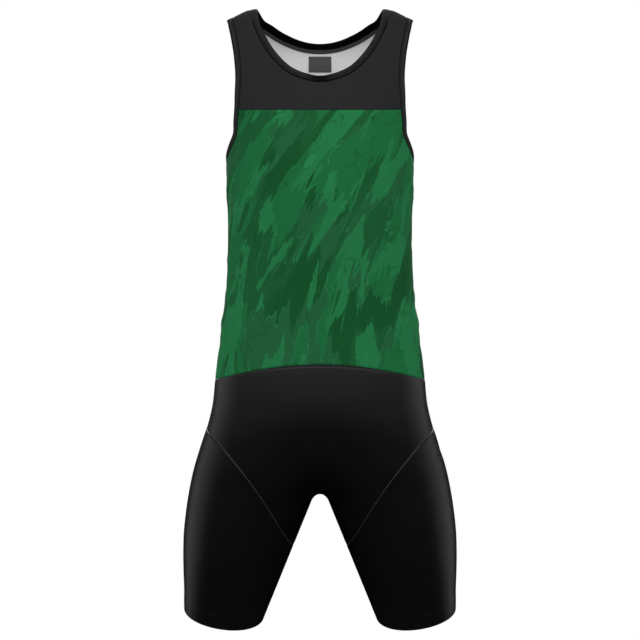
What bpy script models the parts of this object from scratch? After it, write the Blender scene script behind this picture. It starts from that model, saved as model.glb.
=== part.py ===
"""A weightlifting singlet in its worn form with nobody in it: one closed solid for each piece of cloth.

Tables and sizes are in millimetres, the scene is in metres. +Z is up, the front looks along -Y and the
wearer's left is at +X. The origin lies midway between the tops of the two shoulder straps, where a wearer
carries the garment. Depths are measured down from there.

The form is one smooth surface with two coordinates. The first, share, is the way round a level section: 0
on the centre line, or on the inside leg below the crotch, and 1 at the side. The second, root, is the square
root of the depth, positive on the front and negative on the back, so that the surface runs smoothly over
the shoulder at 0. Past the side, share goes on from 1 to 2 round the back.
"""

import math

import bmesh
import bpy
import numpy as np

MM = 0.001
FRONT, BACK = 1, -1

# Cloth
WALL = 1.6
SEAM_GAP = 0.3
BINDING_WIDTH = 9.5
BINDING_PROUD = 0.5
BINDING_INSIDE = 2.2
BINDING_EDGE_ROUND = 0.33
BINDING_EDGE_RISE = 0.8
TAPE_WIDTH = 7.0
TAPE_THICKNESS = 0.9
LABEL_WIDTH = 34.0
LABEL_HEIGHT = 21.0
LABEL_THICKNESS = 0.9
LABEL_HANG = 0.8

# Level sections of the worn form, from the strap tops to the hems: half width at the side, reach of the
# front and of the back from the shoulder plane, how far back the widest point lies, how far out the
# leg's centre lies, and how square the section is (2 is an ellipse)
SECTION_COLUMNS = ("down", "side", "front", "back", "middle", "leg", "square")
SECTIONS = (
    (0, 176.0, 74.0, 74.0, 0.0, 0.0, 2.25),
    (60, 170.0, 79.0, 85.0, 0.0, 0.0, 2.25),
    (110, 158.0, 88.0, 98.0, 0.0, 0.0, 2.25),
    (150, 144.5, 97.0, 105.0, 0.0, 0.0, 2.25),
    (185, 136.8, 104.0, 108.0, 0.0, 0.0, 2.25),
    (212, 135.4, 107.5, 108.0, 0.0, 0.0, 2.25),
    (234, 135.8, 109.0, 106.0, 0.0, 0.0, 2.25),
    (281, 133.8, 108.5, 98.0, 0.0, 0.0, 2.25),
    (340, 133.3, 104.0, 88.5, 0.0, 0.0, 2.20),
    (397, 135.5, 100.5, 84.5, 0.0, 0.0, 2.20),
    (431, 138.9, 99.5, 86.0, 0.0, 0.0, 2.20),
    (466, 144.0, 100.0, 92.0, 0.0, 0.0, 2.20),
    (501, 148.0, 102.0, 100.5, 0.0, 0.0, 2.20),
    (536, 151.9, 104.5, 109.0, 0.0, 0.0, 2.20),
    (571, 155.6, 105.5, 116.0, 1.0, 6.0, 2.20),
    (594, 160.8, 105.0, 119.5, 2.0, 18.0, 2.20),
    (617, 168.4, 103.0, 121.0, 3.5, 33.0, 2.20),
    (640, 175.9, 100.0, 120.0, 5.0, 49.0, 2.15),
    (663, 182.8, 96.5, 116.0, 6.5, 66.0, 2.15),
    (687, 188.3, 92.0, 109.0, 8.0, 83.0, 2.10),
    (710, 192.4, 88.5, 103.0, 8.5, 97.0, 2.10),
    (733, 195.5, 86.0, 97.0, 8.0, 108.0, 2.05),
    (756, 197.7, 83.5, 91.5, 7.0, 114.5, 2.05),
    (779, 198.4, 81.0, 87.0, 6.0, 119.5, 2.05),
    (814, 197.9, 74.0, 77.5, 4.0, 126.5, 2.05),
    (837, 197.0, 68.5, 71.0, 3.0, 131.0, 2.05),
    (861, 196.9, 63.0, 65.0, 2.0, 135.0, 2.05),
    (884, 195.9, 58.5, 60.0, 1.5, 138.3, 2.05),
    (905, 194.5, 56.0, 57.0, 1.0, 140.5, 2.05),
)

# Shoulders: the depth over which the cloth rounds from front to back, and the slope of the ridge
SHOULDER_ROUND = 60.0
SHOULDER_SLOPE = 0.52
SLOPE_START = 104.0
SLOPE_EASE = 6.0
SLOPE_FADE = 150.0

# The fork: where the centre line starts to turn under, the crotch, and the gap between the legs
FORK_EASE_START = 560.0
FORK_START = 625.0
FORK_SQUARE = 2.2
CROTCH = 701.3
GAP_HALF_WIDTH = 8.0
GAP_ROUND = 10.0
GAP_SPREAD = 0.41
GAP_EASE = 10.0
CENTRE_EASE = 24.0
CENTRE_EASE_LENGTH = 70.0

# Free edges, as places seen from the front or the back: distance out from the centre line and depth
EDGE_COLUMNS = ("out", "down", "face")
NECKLINE = (
    (0.0, 108.5, FRONT),
    (28.6, 101.5, FRONT),
    (48.0, 89.0, FRONT),
    (65.3, 69.0, FRONT),
    (76.4, 50.0, FRONT),
    (84.5, 31.0, FRONT),
    (88.8, 12.0, FRONT),
    (90.0, 0.5, FRONT),
    (83.3, 6.6, BACK),
    (71.2, 13.0, BACK),
    (54.0, 22.0, BACK),
    (28.0, 31.5, BACK),
    (0.0, 35.2, BACK),
)
ARMHOLE = (
    (135.2, 16.4, FRONT),
    (131.0, 30.0, FRONT),
    (126.4, 50.0, FRONT),
    (122.0, 76.0, FRONT),
    (119.7, 108.0, FRONT),
    (120.8, 140.0, FRONT),
    (122.6, 168.0, FRONT),
    (125.4, 190.0, FRONT),
    (135.4, 212.0, FRONT),
    (125.0, 190.0, BACK),
    (121.6, 168.0, BACK),
    (119.2, 140.0, BACK),
    (118.3, 108.0, BACK),
    (121.2, 76.0, BACK),
    (126.0, 50.0, BACK),
    (130.8, 30.0, BACK),
    (135.2, 16.4, BACK),
)
PATH_SAMPLES = 240
SIDE_MOVES = 4

# Small steps for slopes, in share, in root and along a path, and how near counts as on the shoulder ridge
# or on the centre line
SHARE_STEP = 0.002
ROOT_STEP = 0.02
PATH_STEP = 0.004
RIDGE_NEAR = 0.001
CENTRE_NEAR = 0.001

# Seams: the yoke's lower seam, the waist seam, and the diagonal seam that runs from the inside leg up over
# the thigh to the hip and down the back again
YOKE_CENTRE = 158.0
YOKE_RISE = 14.0
WAIST_CENTRE = 510.6
WAIST_DROP = 24.0
DIAGONAL = (
    (38.0, 775.0, FRONT),
    (53.1, 748.0, FRONT),
    (73.0, 711.5, FRONT),
    (89.2, 686.4, FRONT),
    (113.3, 654.0, FRONT),
    (138.6, 626.7, FRONT),
    (162.0, 606.0, FRONT),
    (157.0, 602.0, BACK),
    (136.0, 624.0, BACK),
    (112.0, 655.0, BACK),
    (90.0, 687.0, BACK),
    (72.0, 714.0, BACK),
    (54.0, 748.0, BACK),
    (38.0, 775.0, BACK),
)
HEM = 875.0
HEM_MIDDLE = 138.0
HEM_TILT = 0.2
HEM_LEAN = 0.15

# The largest soft folds: share and depth of the middle, half length, half width, the angle of the run from
# level in degrees, and height
FOLDS = (
    (0.96, 452.0, 60.0, 9.0, 12.0, 1.3),
    (0.90, 486.0, 70.0, 10.0, -10.0, -1.2),
    (0.80, 250.0, 55.0, 10.0, 40.0, 1.2),
    (1.30, 405.0, 80.0, 12.0, -6.0, 1.4),
    (1.45, 432.0, 75.0, 12.0, 8.0, -1.3),
    (0.35, 655.0, 60.0, 9.0, 38.0, -1.4),
    (1.55, 712.0, 60.0, 10.0, -30.0, -1.4),
)

# Grid counts
NECK_FRONT_STEPS = 20
NECK_BACK_STEPS = 17
YOKE_BOTTOM_STEPS = 9
YOKE_ROWS = 5
STRIP_TURN = 1.5
ARMHOLE_PANEL_STEPS = 4
PANEL_ROWS = 17
HALF_COLUMNS = 11
FORK_ROWS = 13
TIP_ROWS = 6
FORK_GRADING = 2.2
LEVEL_SHARE = 0.7
LEG_ROWS = 11
BAND_ROWS = 2

# Colours (linear) and finish
BLACK_KNIT = ((0.022, 0.022, 0.023), 0.62)
BLACK_LYCRA = ((0.012, 0.012, 0.013), 0.48)
BINDING_BLACK = ((0.009, 0.009, 0.010), 0.55)
GREEN_KNIT = ((0.012, 0.130, 0.043), 0.60)
TAPE_GREY = ((0.055, 0.045, 0.045), 0.60)
LABEL_GREY = ((0.065, 0.065, 0.067), 0.50)


def column(table, names, name):
    return np.array([row[names.index(name)] for row in table], float)


def through(knots, values, at):
    """A smooth curve through the values at the knots, read at the given places."""
    slopes = np.gradient(values, knots)
    at = np.clip(at, knots[0], knots[-1])
    i = np.clip(np.searchsorted(knots, at) - 1, 0, len(knots) - 2)
    step = knots[i + 1] - knots[i]
    t = (at - knots[i]) / step
    return (
        values[i] * (1 + 2 * t) * (1 - t) ** 2
        + values[i + 1] * t**2 * (3 - 2 * t)
        + step * t * (1 - t) * (slopes[i] * (1 - t) - slopes[i + 1] * t)
    )


def section(name, down):
    depths = column(SECTIONS, SECTION_COLUMNS, "down")
    return through(depths, column(SECTIONS, SECTION_COLUMNS, name), down)


def eased(value):
    value = np.clip(value, 0, 1)
    return value * value * (3 - 2 * value)


def inside_leg(down):
    """Distance from the centre line to the inside of the leg: a rounded top, then straight sides."""
    below = np.maximum(down - CROTCH, 0)
    rounding = 1 - (1 - np.minimum(below / GAP_ROUND, 1)) ** 2
    return GAP_HALF_WIDTH * np.sqrt(rounding) + GAP_SPREAD * below


def shoulder_drop(out, down):
    """How far the shoulder's slope lowers a point that lies this far out."""
    past = out - SLOPE_START
    slope = SHOULDER_SLOPE * (np.sqrt(past**2 + SLOPE_EASE**2) + past) / 2
    return slope * (1 - eased(down / SLOPE_FADE))


def outward_reach(share, down):
    """Distance from the centre line at each share of the way round, spread evenly over a torso or a leg."""
    side, inner = section("side", down), inside_leg(down)
    as_leg = eased((down - FORK_EASE_START) / (CROTCH - FORK_EASE_START))
    on_torso = np.sin(math.pi / 2 * share)
    on_leg = (1 - np.cos(math.pi * share)) / 2
    return inner + (side - inner) * (on_torso + (on_leg - on_torso) * as_leg)


def depth_reach(out, down, face):
    """Distance of the cloth in front of or behind the widest line, for points this far out."""
    side, front, back, middle, leg, square = (
        section(name, down) for name in SECTION_COLUMNS[1:]
    )
    over_shoulder = np.sqrt(1 - (1 - np.minimum(down / SHOULDER_ROUND, 1)) ** 2)
    reach = np.where(face > 0, front + middle, back - middle) * over_shoulder
    to_crotch = np.clip((down - FORK_START) / (CROTCH - FORK_START), 0, 1)
    centre_reach = (1 - to_crotch**FORK_SQUARE) ** (1 / FORK_SQUARE)
    # Distances out are rounded off near the centre line, which makes the fork a saddle with no crease
    above = np.clip((CROTCH - down) / CENTRE_EASE_LENGTH, 0, 1)
    ease = GAP_EASE + (CENTRE_EASE - GAP_EASE) * above
    inner, rounded_out = np.hypot(inside_leg(down), ease), np.hypot(out, ease)
    leg_width = np.maximum(np.hypot(leg, ease) - inner, 1e-6)
    towards_centre = np.clip(1 - (rounded_out - inner) / leg_width, 0, 1)
    towards_side = np.clip((out - leg) / (side - leg), 0, 1)
    lost = (1 - centre_reach**square) * towards_centre**square + towards_side**square
    return middle, reach * np.maximum(1 - lost, 0) ** (1 / square)


def form(share, root):
    """Points of the garment's outer surface, in millimetres."""
    share, root = np.broadcast_arrays(np.asarray(share, float), np.asarray(root, float))
    past_side = share > 1
    share = np.where(past_side, 2 - share, share)
    root = np.where(past_side, -root, root)
    past_centre = share < 0
    on_leg = past_centre & (root**2 > CROTCH)
    root = np.where(on_leg, -root, root)
    mirrored = np.where(past_centre & ~on_leg, -1, 1)
    down, face = root**2, np.where(root >= 0, FRONT, BACK)
    out = outward_reach(np.abs(share), down)
    middle, reach = depth_reach(out, down, face)
    return np.stack([out * mirrored, middle - face * reach, -down - shoulder_drop(out, down)], axis=1)


def surface(share, root):
    """Points of the form with their outward directions."""
    share, root = np.broadcast_arrays(np.asarray(share, float), np.asarray(root, float))
    across = form(share + SHARE_STEP, root) - form(share - SHARE_STEP, root)
    along = form(share, root + ROOT_STEP) - form(share, root - ROOT_STEP)
    outward = np.cross(along, across)
    points = form(share, root)
    on_centre = np.abs(points[:, 0]) < CENTRE_NEAR
    points[on_centre, 0] = outward[on_centre, 0] = 0
    return points, outward / np.linalg.norm(outward, axis=1, keepdims=True)


def fold_height(share, root):
    """How far the soft folds lift the cloth at each place."""
    down = root**2
    round_share = np.where(root < 0, 2 - share, share)
    height = np.zeros_like(down)
    half_round = math.pi / 2 * (section("side", down) + section("front", down)) / 2
    for fold_share, fold_down, half_length, half_width, angle, lift in FOLDS:
        right = (round_share - fold_share) * half_round
        below = down - fold_down
        turn = math.radians(angle)
        along = right * math.cos(turn) + below * math.sin(turn)
        across = below * math.cos(turn) - right * math.sin(turn)
        height += lift * np.exp(-((along / half_length) ** 2) - (across / half_width) ** 2)
    return height


def place_on_form(out, down, face):
    """Share and root of a point seen at this distance out and this depth, on the given face."""
    level = down
    for _ in range(8):
        level = np.maximum(down - shoulder_drop(out, level), 0)
    shares = np.linspace(0, 1, 1001)
    share = [np.interp(o, outward_reach(shares, d), shares) for o, d in zip(out, level)]
    return np.array(share), face * np.sqrt(level)


def diagonal_path():
    out, down, face = (column(DIAGONAL, EDGE_COLUMNS, name) for name in EDGE_COLUMNS)
    share, root = place_on_form(out, down, face)
    return np.where(root < 0, 2 - share, share), root**2


def even_path(share, root):
    """The path through the given places, as many places at equal distances along it."""
    knots = np.arange(len(share), dtype=float)
    at = np.linspace(0, len(share) - 1, PATH_SAMPLES)
    share, root = through(knots, share, at), through(knots, root, at)
    steps = np.linalg.norm(np.diff(form(share, root), axis=0), axis=1)
    length = np.concatenate([[0], np.cumsum(steps)])
    return length / length[-1], share, root


def neck_path():
    """The neckline from the centre front to the centre back, and the shoulder's place on it."""
    out, down, face = (column(NECKLINE, EDGE_COLUMNS, name) for name in EDGE_COLUMNS)
    share, root = place_on_form(out, down, face)
    # One more place past each end, as in a mirror, keeps the curve level at the centre line
    share = np.concatenate([[-share[1]], share, [-share[-2]]])
    root = np.concatenate([[root[1]], root, [root[-2]]])
    at, share, root = even_path(share, root)
    inside = share >= 0
    at = (at[inside] - at[inside][0]) / (at[inside][-1] - at[inside][0])
    share, root = share[inside], root[inside]
    share[[0, -1]] = 0
    return (at, share, root), float(np.interp(0, -root, at))


def armhole_path():
    """The armhole's edge from the shoulder down the front, under the arm and up the back."""
    out, down, face = (column(ARMHOLE, EDGE_COLUMNS, name) for name in EDGE_COLUMNS)
    share, root = place_on_form(out, down, face)
    under = int(np.argmax(down))
    share[under] = 1
    share[under + 1 :] = 2 - share[under + 1 :]
    root = np.abs(root)
    root[[0, -1]] = 0
    return even_path(share, root)


def along_path(path, at, width):
    """Places along a path, moved sideways over the form by a width, away from the opening."""
    knots, share, root = path
    here = np.interp(at, knots, share), np.interp(at, knots, root)
    ahead = np.interp(at + PATH_STEP, knots, share), np.interp(at + PATH_STEP, knots, root)
    behind = np.interp(at - PATH_STEP, knots, share), np.interp(at - PATH_STEP, knots, root)
    run = form(*ahead) - form(*behind)
    share, root = here
    move = width / SIDE_MOVES
    for _ in range(SIDE_MOVES):
        _, outward = surface(share, root)
        sideways = np.cross(run, outward)
        sideways /= np.linalg.norm(sideways, axis=1, keepdims=True)
        by_share = (form(share + SHARE_STEP, root) - form(share - SHARE_STEP, root)) / (2 * SHARE_STEP)
        by_root = (form(share, root + ROOT_STEP) - form(share, root - ROOT_STEP)) / (2 * ROOT_STEP)
        a = (by_share * by_share).sum(axis=1)
        b = (by_share * by_root).sum(axis=1)
        c = (by_root * by_root).sum(axis=1)
        p = (sideways * by_share).sum(axis=1) * move
        q = (sideways * by_root).sum(axis=1) * move
        determinant = a * c - b * b
        # Along the shoulder ridge itself the move follows the ridge, so that front and back meet
        on_ridge = np.abs(root) < RIDGE_NEAR
        along_ridge = np.sign(p) * move / np.sqrt(a)
        share = share + np.where(on_ridge, along_ridge, (p * c - q * b) / determinant)
        root = np.where(on_ridge, 0, root + (q * a - p * b) / determinant)
    return share, root


def trim(share, down, face):
    """The share that half a seam gap takes up beside the centre line or the side seam."""
    root = face * np.sqrt(down)
    inward = SHARE_STEP if share < 0.5 else -SHARE_STEP
    run = np.linalg.norm(form(share + inward, root) - form(share, root), axis=1)
    return SEAM_GAP / 2 * SHARE_STEP / run


def ridge_trim(share):
    """The root that half the shoulder seam's gap takes up on the ridge."""
    run = np.linalg.norm(form(share, ROOT_STEP) - form(share, -ROOT_STEP), axis=1)
    return SEAM_GAP * ROOT_STEP / run


def diagonal_trim(share):
    """Half the gap of the diagonal seam, measured straight down across its slant."""
    ahead = form(share + SHARE_STEP, np.sqrt(diagonal_seam(share + SHARE_STEP)))
    behind = form(share - SHARE_STEP, np.sqrt(diagonal_seam(share - SHARE_STEP)))
    run = ahead - behind
    return SEAM_GAP / 2 * np.linalg.norm(run, axis=1) / np.linalg.norm(run[:, :2], axis=1)


def yoke_seam(share):
    return YOKE_CENTRE - YOKE_RISE * share**2


def waist_seam(share):
    return WAIST_CENTRE + WAIST_DROP * np.sin(math.pi / 2 * share) ** 2


def diagonal_seam(share):
    """Depth of the diagonal seam at each share of the way round the leg, 0 and 2 at the inside."""
    return through(*diagonal, share)


def hem(share):
    """Depth of the hem, whose plane is lower in front and towards the inside of the leg."""
    down = np.full_like(share, HEM)
    for _ in range(3):
        out, back, _ = form(share, np.sqrt(down)).T
        down = HEM - HEM_TILT * back - HEM_LEAN * (out - HEM_MIDDLE)
    return down


def material(name, look):
    colour, roughness = look
    made = bpy.data.materials.new(name)
    made.use_nodes = True
    shader = made.node_tree.nodes["Principled BSDF"]
    shader.inputs["Base Color"].default_value = (*colour, 1)
    shader.inputs["Roughness"].default_value = roughness
    shader.inputs["Metallic"].default_value = 0
    made.diffuse_color = (*colour, 1)
    return made


def sew(name, columns, rows, lay, lift, look, mirror=False, ring=False, hand=1):
    """One piece of cloth as a closed wall.

    A flat board of columns by rows is laid on the form: lay turns its coordinates (0 to 1) into share and
    root, and lift says how far out of the form its outer and inner faces lie. mirror adds the other half
    across the centre line, ring closes the first column on the last, and hand is -1 for a right-hand piece.
    """
    board = bmesh.new()
    bmesh.ops.create_grid(board, x_segments=columns, y_segments=rows, size=0.5)
    bmesh.ops.translate(board, verts=board.verts, vec=(0.5, 0.5, 0))
    doubled = bmesh.ops.extrude_face_region(board, geom=board.faces[:], use_keep_orig=True)
    inner = [item for item in doubled["geom"] if isinstance(item, bmesh.types.BMVert)]
    bmesh.ops.translate(board, verts=inner, vec=(0, 0, 1))
    bmesh.ops.recalc_face_normals(board, faces=board.faces[:])
    if ring:
        ends = [
            face
            for face in board.faces
            if all(v.co.x < 1e-6 for v in face.verts) or all(v.co.x > 1 - 1e-6 for v in face.verts)
        ]
        bmesh.ops.delete(board, geom=ends, context="FACES")

    flat = np.array([vertex.co for vertex in board.verts])
    share, root = lay(flat[:, 0], flat[:, 1])
    points, outward = surface(share, root)
    outer_lift, inner_lift = lift(flat[:, 1])
    away = np.where(flat[:, 2] < 0.5, outer_lift, inner_lift) + fold_height(share, root)
    points = (points + outward * away[:, None]) * MM
    points[:, 0] *= hand
    for vertex, point in zip(board.verts, points):
        vertex.co = point
    if board.calc_volume(signed=True) < 0:
        bmesh.ops.reverse_faces(board, faces=board.faces[:])
    if ring:
        bmesh.ops.remove_doubles(board, verts=board.verts[:], dist=1e-6)
    if mirror:
        cut = [face for face in board.faces if all(abs(v.co.x) < 1e-7 for v in face.verts)]
        bmesh.ops.delete(board, geom=cut, context="FACES")

    mesh = bpy.data.meshes.new(name)
    board.to_mesh(mesh)
    board.free()
    mesh.materials.append(material(name, look))
    mesh.shade_smooth()
    mesh.set_sharp_from_angle(angle=math.radians(50))
    piece = bpy.data.objects.new(name, mesh)
    garment.objects.link(piece)
    if mirror:
        modifier = piece.modifiers.new("Other half", "MIRROR")
        modifier.merge_threshold = 1e-6
    return piece


def wall(_):
    return 0.0, -WALL


def binding_wall(across):
    """The folded binding: proud of the panels, with its free edge rounded."""
    crown = np.sqrt(1 - (1 - np.minimum(across / BINDING_EDGE_ROUND, 1)) ** 2)
    return BINDING_PROUD * (1 - BINDING_EDGE_RISE * (1 - crown)), -BINDING_INSIDE


def add_yoke(name, face):
    """The upper front or back with both straps: strips that run from the neckline out to its other edges."""
    steps = NECK_FRONT_STEPS if face == FRONT else NECK_BACK_STEPS
    side_steps = steps - YOKE_BOTTOM_STEPS
    seam_in = BINDING_WIDTH + SEAM_GAP
    neck_at = np.linspace(0, 1, steps + 1)
    neck_at = neck_at * neck_shoulder if face == FRONT else 1 - neck_at * (1 - neck_shoulder)
    neck_share, neck_root = along_path(neck, neck_at, seam_in)
    next_share, next_root = along_path(neck, neck_at, seam_in + TAPE_WIDTH)
    neck_share[0] = next_share[0] = 0
    corner = front_corner if face == FRONT else back_corner
    top = 0.0 if face == FRONT else 1.0
    arm_at = corner + (top - corner) * np.linspace(0, 1, side_steps + 1)
    arm_share, arm_root = along_path(armhole, arm_at, seam_in)
    if face == BACK:
        arm_share, arm_root = 2 - arm_share, -arm_root
    low_share = arm_share[0] * np.linspace(0, 1, YOKE_BOTTOM_STEPS + 1)
    low_root = face * np.sqrt(yoke_seam(low_share) - SEAM_GAP / 2)
    rim_share = np.concatenate([low_share, arm_share[1:]])
    rim_root = np.concatenate([low_root, arm_root[1:]])
    for edge_share, edge_root in ((neck_share, neck_root), (next_share, next_root), (rim_share, rim_root)):
        edge_root[-1:] = face * ridge_trim(edge_share[-1:])

    def lay(along, across):
        at = np.linspace(0, 1, steps + 1)
        # The first row is as wide as the tape inside the neck, and the others share what is left
        first = np.clip(across * YOKE_ROWS, 0, 1)
        rest = np.clip((across * YOKE_ROWS - 1) / (YOKE_ROWS - 1), 0, 1)
        # The strips next to the corner run down before they turn out, and so pass clear of the armhole
        turned = rest ** np.interp(along, (0, YOKE_BOTTOM_STEPS / steps, 1), (1, STRIP_TURN, 1))
        share = np.interp(along, at, neck_share) * (1 - first) + np.interp(along, at, next_share) * first
        root = np.interp(along, at, neck_root) * (1 - first) + np.interp(along, at, next_root) * first
        share = share * (1 - turned) + np.interp(along, at, rim_share) * turned
        root = root * (1 - rest) + np.interp(along, at, rim_root) * rest
        return share, root

    sew(name, steps, YOKE_ROWS, lay, wall, BLACK_KNIT, mirror=True)


def add_panel(name, face):
    """The coloured front or back of the top, from the yoke and the armhole down to the waist seam."""
    corner = front_corner if face == FRONT else back_corner
    arm_at = corner + (under_arm - corner) * np.linspace(0, 1, ARMHOLE_PANEL_STEPS + 1)
    arm_share, arm_root = along_path(armhole, arm_at, BINDING_WIDTH + SEAM_GAP)
    if face == BACK:
        arm_share = 2 - arm_share
    side_rows = PANEL_ROWS - ARMHOLE_PANEL_STEPS
    side_down = np.linspace(arm_root[-1] ** 2, waist_seam(1) - SEAM_GAP / 2, side_rows + 1)
    rim_down = np.concatenate([arm_root**2, side_down[1:]])
    rim_down[0] = yoke_seam(arm_share[0]) + SEAM_GAP / 2
    rim_share = np.concatenate([arm_share, np.ones(side_rows)])
    rim_share = np.minimum(rim_share, 1 - trim(1.0, rim_down, face))
    centre_down = np.linspace(YOKE_CENTRE + SEAM_GAP / 2, WAIST_CENTRE - SEAM_GAP / 2, PANEL_ROWS + 1)

    def lay(along, across):
        at = np.linspace(0, 1, PANEL_ROWS + 1)
        middle, rim = np.interp(across, at, centre_down), np.interp(across, at, rim_down)
        bow = (1 - across) * along**2 + across * np.sin(math.pi / 2 * along) ** 2
        share = along * np.interp(across, at, rim_share)
        return share, face * np.sqrt(middle + (rim - middle) * bow)

    sew(name, HALF_COLUMNS, PANEL_ROWS, lay, wall, GREEN_KNIT, mirror=True)


def add_shorts_panel(name, face):
    """The front or the seat of the shorts, from the waist seam to the diagonal seams, with two tips."""
    rows = FORK_ROWS + TIP_ROWS
    crotch_row = FORK_ROWS / rows
    bottom = DIAGONAL[0][1] - SEAM_GAP / 2

    def lay(along, across):
        round_share = along if face == FRONT else 2 - along
        high = waist_seam(along) + SEAM_GAP / 2
        low = np.where(along < 1e-6, bottom, diagonal_seam(round_share) - diagonal_trim(round_share))
        # Near the centre line the rows are level and lie closest together at the crotch
        crotch_part = np.clip((CROTCH - high) / (low - high), 0, 1)
        above = 1 - (1 - np.minimum(across / crotch_row, 1)) ** FORK_GRADING
        below = np.maximum((across - crotch_row) / (1 - crotch_row), 0) ** FORK_GRADING
        level = crotch_part * above + (1 - crotch_part) * below
        down = high + (low - high) * (across + (level - across) * (1 - eased(along / LEVEL_SHARE)))
        down = np.where((along < 1e-6) & (np.abs(across - crotch_row) < 1e-6), CROTCH, down)
        inner_trim = np.where(down >= CROTCH, trim(0.0, down, face), 0)
        share = inner_trim + along * (1 - inner_trim - trim(1.0, down, face))
        return share, face * np.sqrt(down)

    sew(name, HALF_COLUMNS, rows, lay, wall, BLACK_LYCRA, mirror=True)


def add_leg(name, hand):
    """A leg from the diagonal seam to the hem, sewn to a tube along the inside."""

    def lay(along, across):
        share = 2 * along
        high = diagonal_seam(share) + diagonal_trim(share)
        return share, np.sqrt(high + (hem(share) - high) * across)

    sew(name, 2 * HALF_COLUMNS, LEG_ROWS, lay, wall, BLACK_LYCRA, ring=True, hand=hand)


def add_neck_binding():
    """The folded strip round the neck."""
    front = np.linspace(0, neck_shoulder, NECK_FRONT_STEPS + 1)
    back = np.linspace(neck_shoulder, 1, NECK_BACK_STEPS + 1)
    stations = np.concatenate([front, back[1:]])
    free = along_path(neck, stations, 0)
    sewn = along_path(neck, stations, BINDING_WIDTH)
    for ends in (free[0], sewn[0]):
        ends[[0, -1]] = 0

    def lay(along, across):
        at = np.linspace(0, 1, len(stations))
        share = np.interp(along, at, free[0]) * (1 - across) + np.interp(along, at, sewn[0]) * across
        root = np.interp(along, at, free[1]) * (1 - across) + np.interp(along, at, sewn[1]) * across
        return share, root

    sew("neck_binding", len(stations) - 1, BAND_ROWS, lay, binding_wall, BINDING_BLACK, mirror=True)


def add_armhole_binding(name, hand):
    """The folded strip round an armhole."""
    yoke_front = np.linspace(0, front_corner, NECK_FRONT_STEPS - YOKE_BOTTOM_STEPS + 1)
    panel_front = np.linspace(front_corner, under_arm, ARMHOLE_PANEL_STEPS + 1)
    panel_back = np.linspace(under_arm, back_corner, ARMHOLE_PANEL_STEPS + 1)
    yoke_back = np.linspace(back_corner, 1, NECK_BACK_STEPS - YOKE_BOTTOM_STEPS + 1)
    stations = np.concatenate([yoke_front, panel_front[1:], panel_back[1:], yoke_back[1:]])
    free = along_path(armhole, stations, 0)
    sewn = along_path(armhole, stations, BINDING_WIDTH)
    for edge in (free, sewn):
        edge[1][[0, -1]] = 0
        edge[0][-1] = 2 - edge[0][0]

    def lay(along, across):
        at = np.linspace(0, 1, len(stations))
        share = np.interp(along, at, free[0]) * (1 - across) + np.interp(along, at, sewn[0]) * across
        root = np.interp(along, at, free[1]) * (1 - across) + np.interp(along, at, sewn[1]) * across
        return share, root

    sew(name, len(stations) - 1, BAND_ROWS, lay, binding_wall, BINDING_BLACK, ring=True, hand=hand)


def add_neck_tape():
    """The narrow tape that covers the back neck seam inside, from shoulder to shoulder."""
    steps = NECK_BACK_STEPS - 1
    stations = 1 - (1 - neck_shoulder) * np.linspace(0, steps / NECK_BACK_STEPS, steps + 1)
    upper = along_path(neck, stations, BINDING_WIDTH + SEAM_GAP)
    lower = along_path(neck, stations, BINDING_WIDTH + SEAM_GAP + TAPE_WIDTH)
    upper[0][0] = lower[0][0] = 0

    def lay(along, across):
        at = np.linspace(0, 1, steps + 1)
        share = np.interp(along, at, upper[0]) * (1 - across) + np.interp(along, at, lower[0]) * across
        root = np.interp(along, at, upper[1]) * (1 - across) + np.interp(along, at, lower[1]) * across
        return share, root

    def lift(_):
        under = -WALL - SEAM_GAP
        return under, under - TAPE_THICKNESS

    sew("neck_tape", steps, 1, lay, lift, TAPE_GREY, mirror=True)


def add_neck_label():
    """The small plain label that hangs inside the centre back, below the tape."""
    half_width = LABEL_WIDTH / 2
    top = NECKLINE[-1][1] + BINDING_WIDTH + TAPE_WIDTH + 3 * SEAM_GAP

    def lay(along, across):
        down = top + across * LABEL_HEIGHT
        share, root = place_on_form(along * half_width, down, np.full_like(down, BACK))
        return share, root

    def lift(_):
        under = -WALL - LABEL_HANG
        return under, under - LABEL_THICKNESS

    sew("neck_label", 3, 3, lay, lift, LABEL_GREY, mirror=True)


for old in list(bpy.data.objects):
    bpy.data.objects.remove(old, do_unlink=True)
garment = bpy.data.collections.new("weightlifting_singlet")
bpy.context.scene.collection.children.link(garment)

neck, neck_shoulder = neck_path()
armhole = armhole_path()
under_arm = float(np.interp(1, armhole[1], armhole[0]))
diagonal = diagonal_path()


def yoke_corner(start, end):
    """The place along the armhole where the yoke's lower seam meets its binding."""
    at = np.linspace(start, end, 200)
    share, root = along_path(armhole, at, BINDING_WIDTH + SEAM_GAP)
    share = np.where(share > 1, 2 - share, share)
    below = root**2 - yoke_seam(share)
    return float(np.interp(0, below, at))


front_corner = yoke_corner(0.01, under_arm)
back_corner = yoke_corner(0.99, under_arm)

add_yoke("front_yoke", FRONT)
add_yoke("back_yoke", BACK)
add_panel("front_panel", FRONT)
add_panel("back_panel", BACK)
add_shorts_panel("shorts_front", FRONT)
add_shorts_panel("shorts_seat", BACK)
add_leg("leg_left", 1)
add_leg("leg_right", -1)
add_neck_binding()
add_armhole_binding("armhole_binding_left", 1)
add_armhole_binding("armhole_binding_right", -1)
add_neck_tape()
add_neck_label()
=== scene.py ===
"""A weightlifting singlet in its worn form with nobody in it, dressed in the cloth, seams and thread of the
real one.

Sizes are in millimetres until a piece is laid on the form. +Z is up, the front looks along -Y and the
wearer's left is at +X. The origin lies between the tops of the two straps, and depths go down from it.
"""

import math

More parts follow.
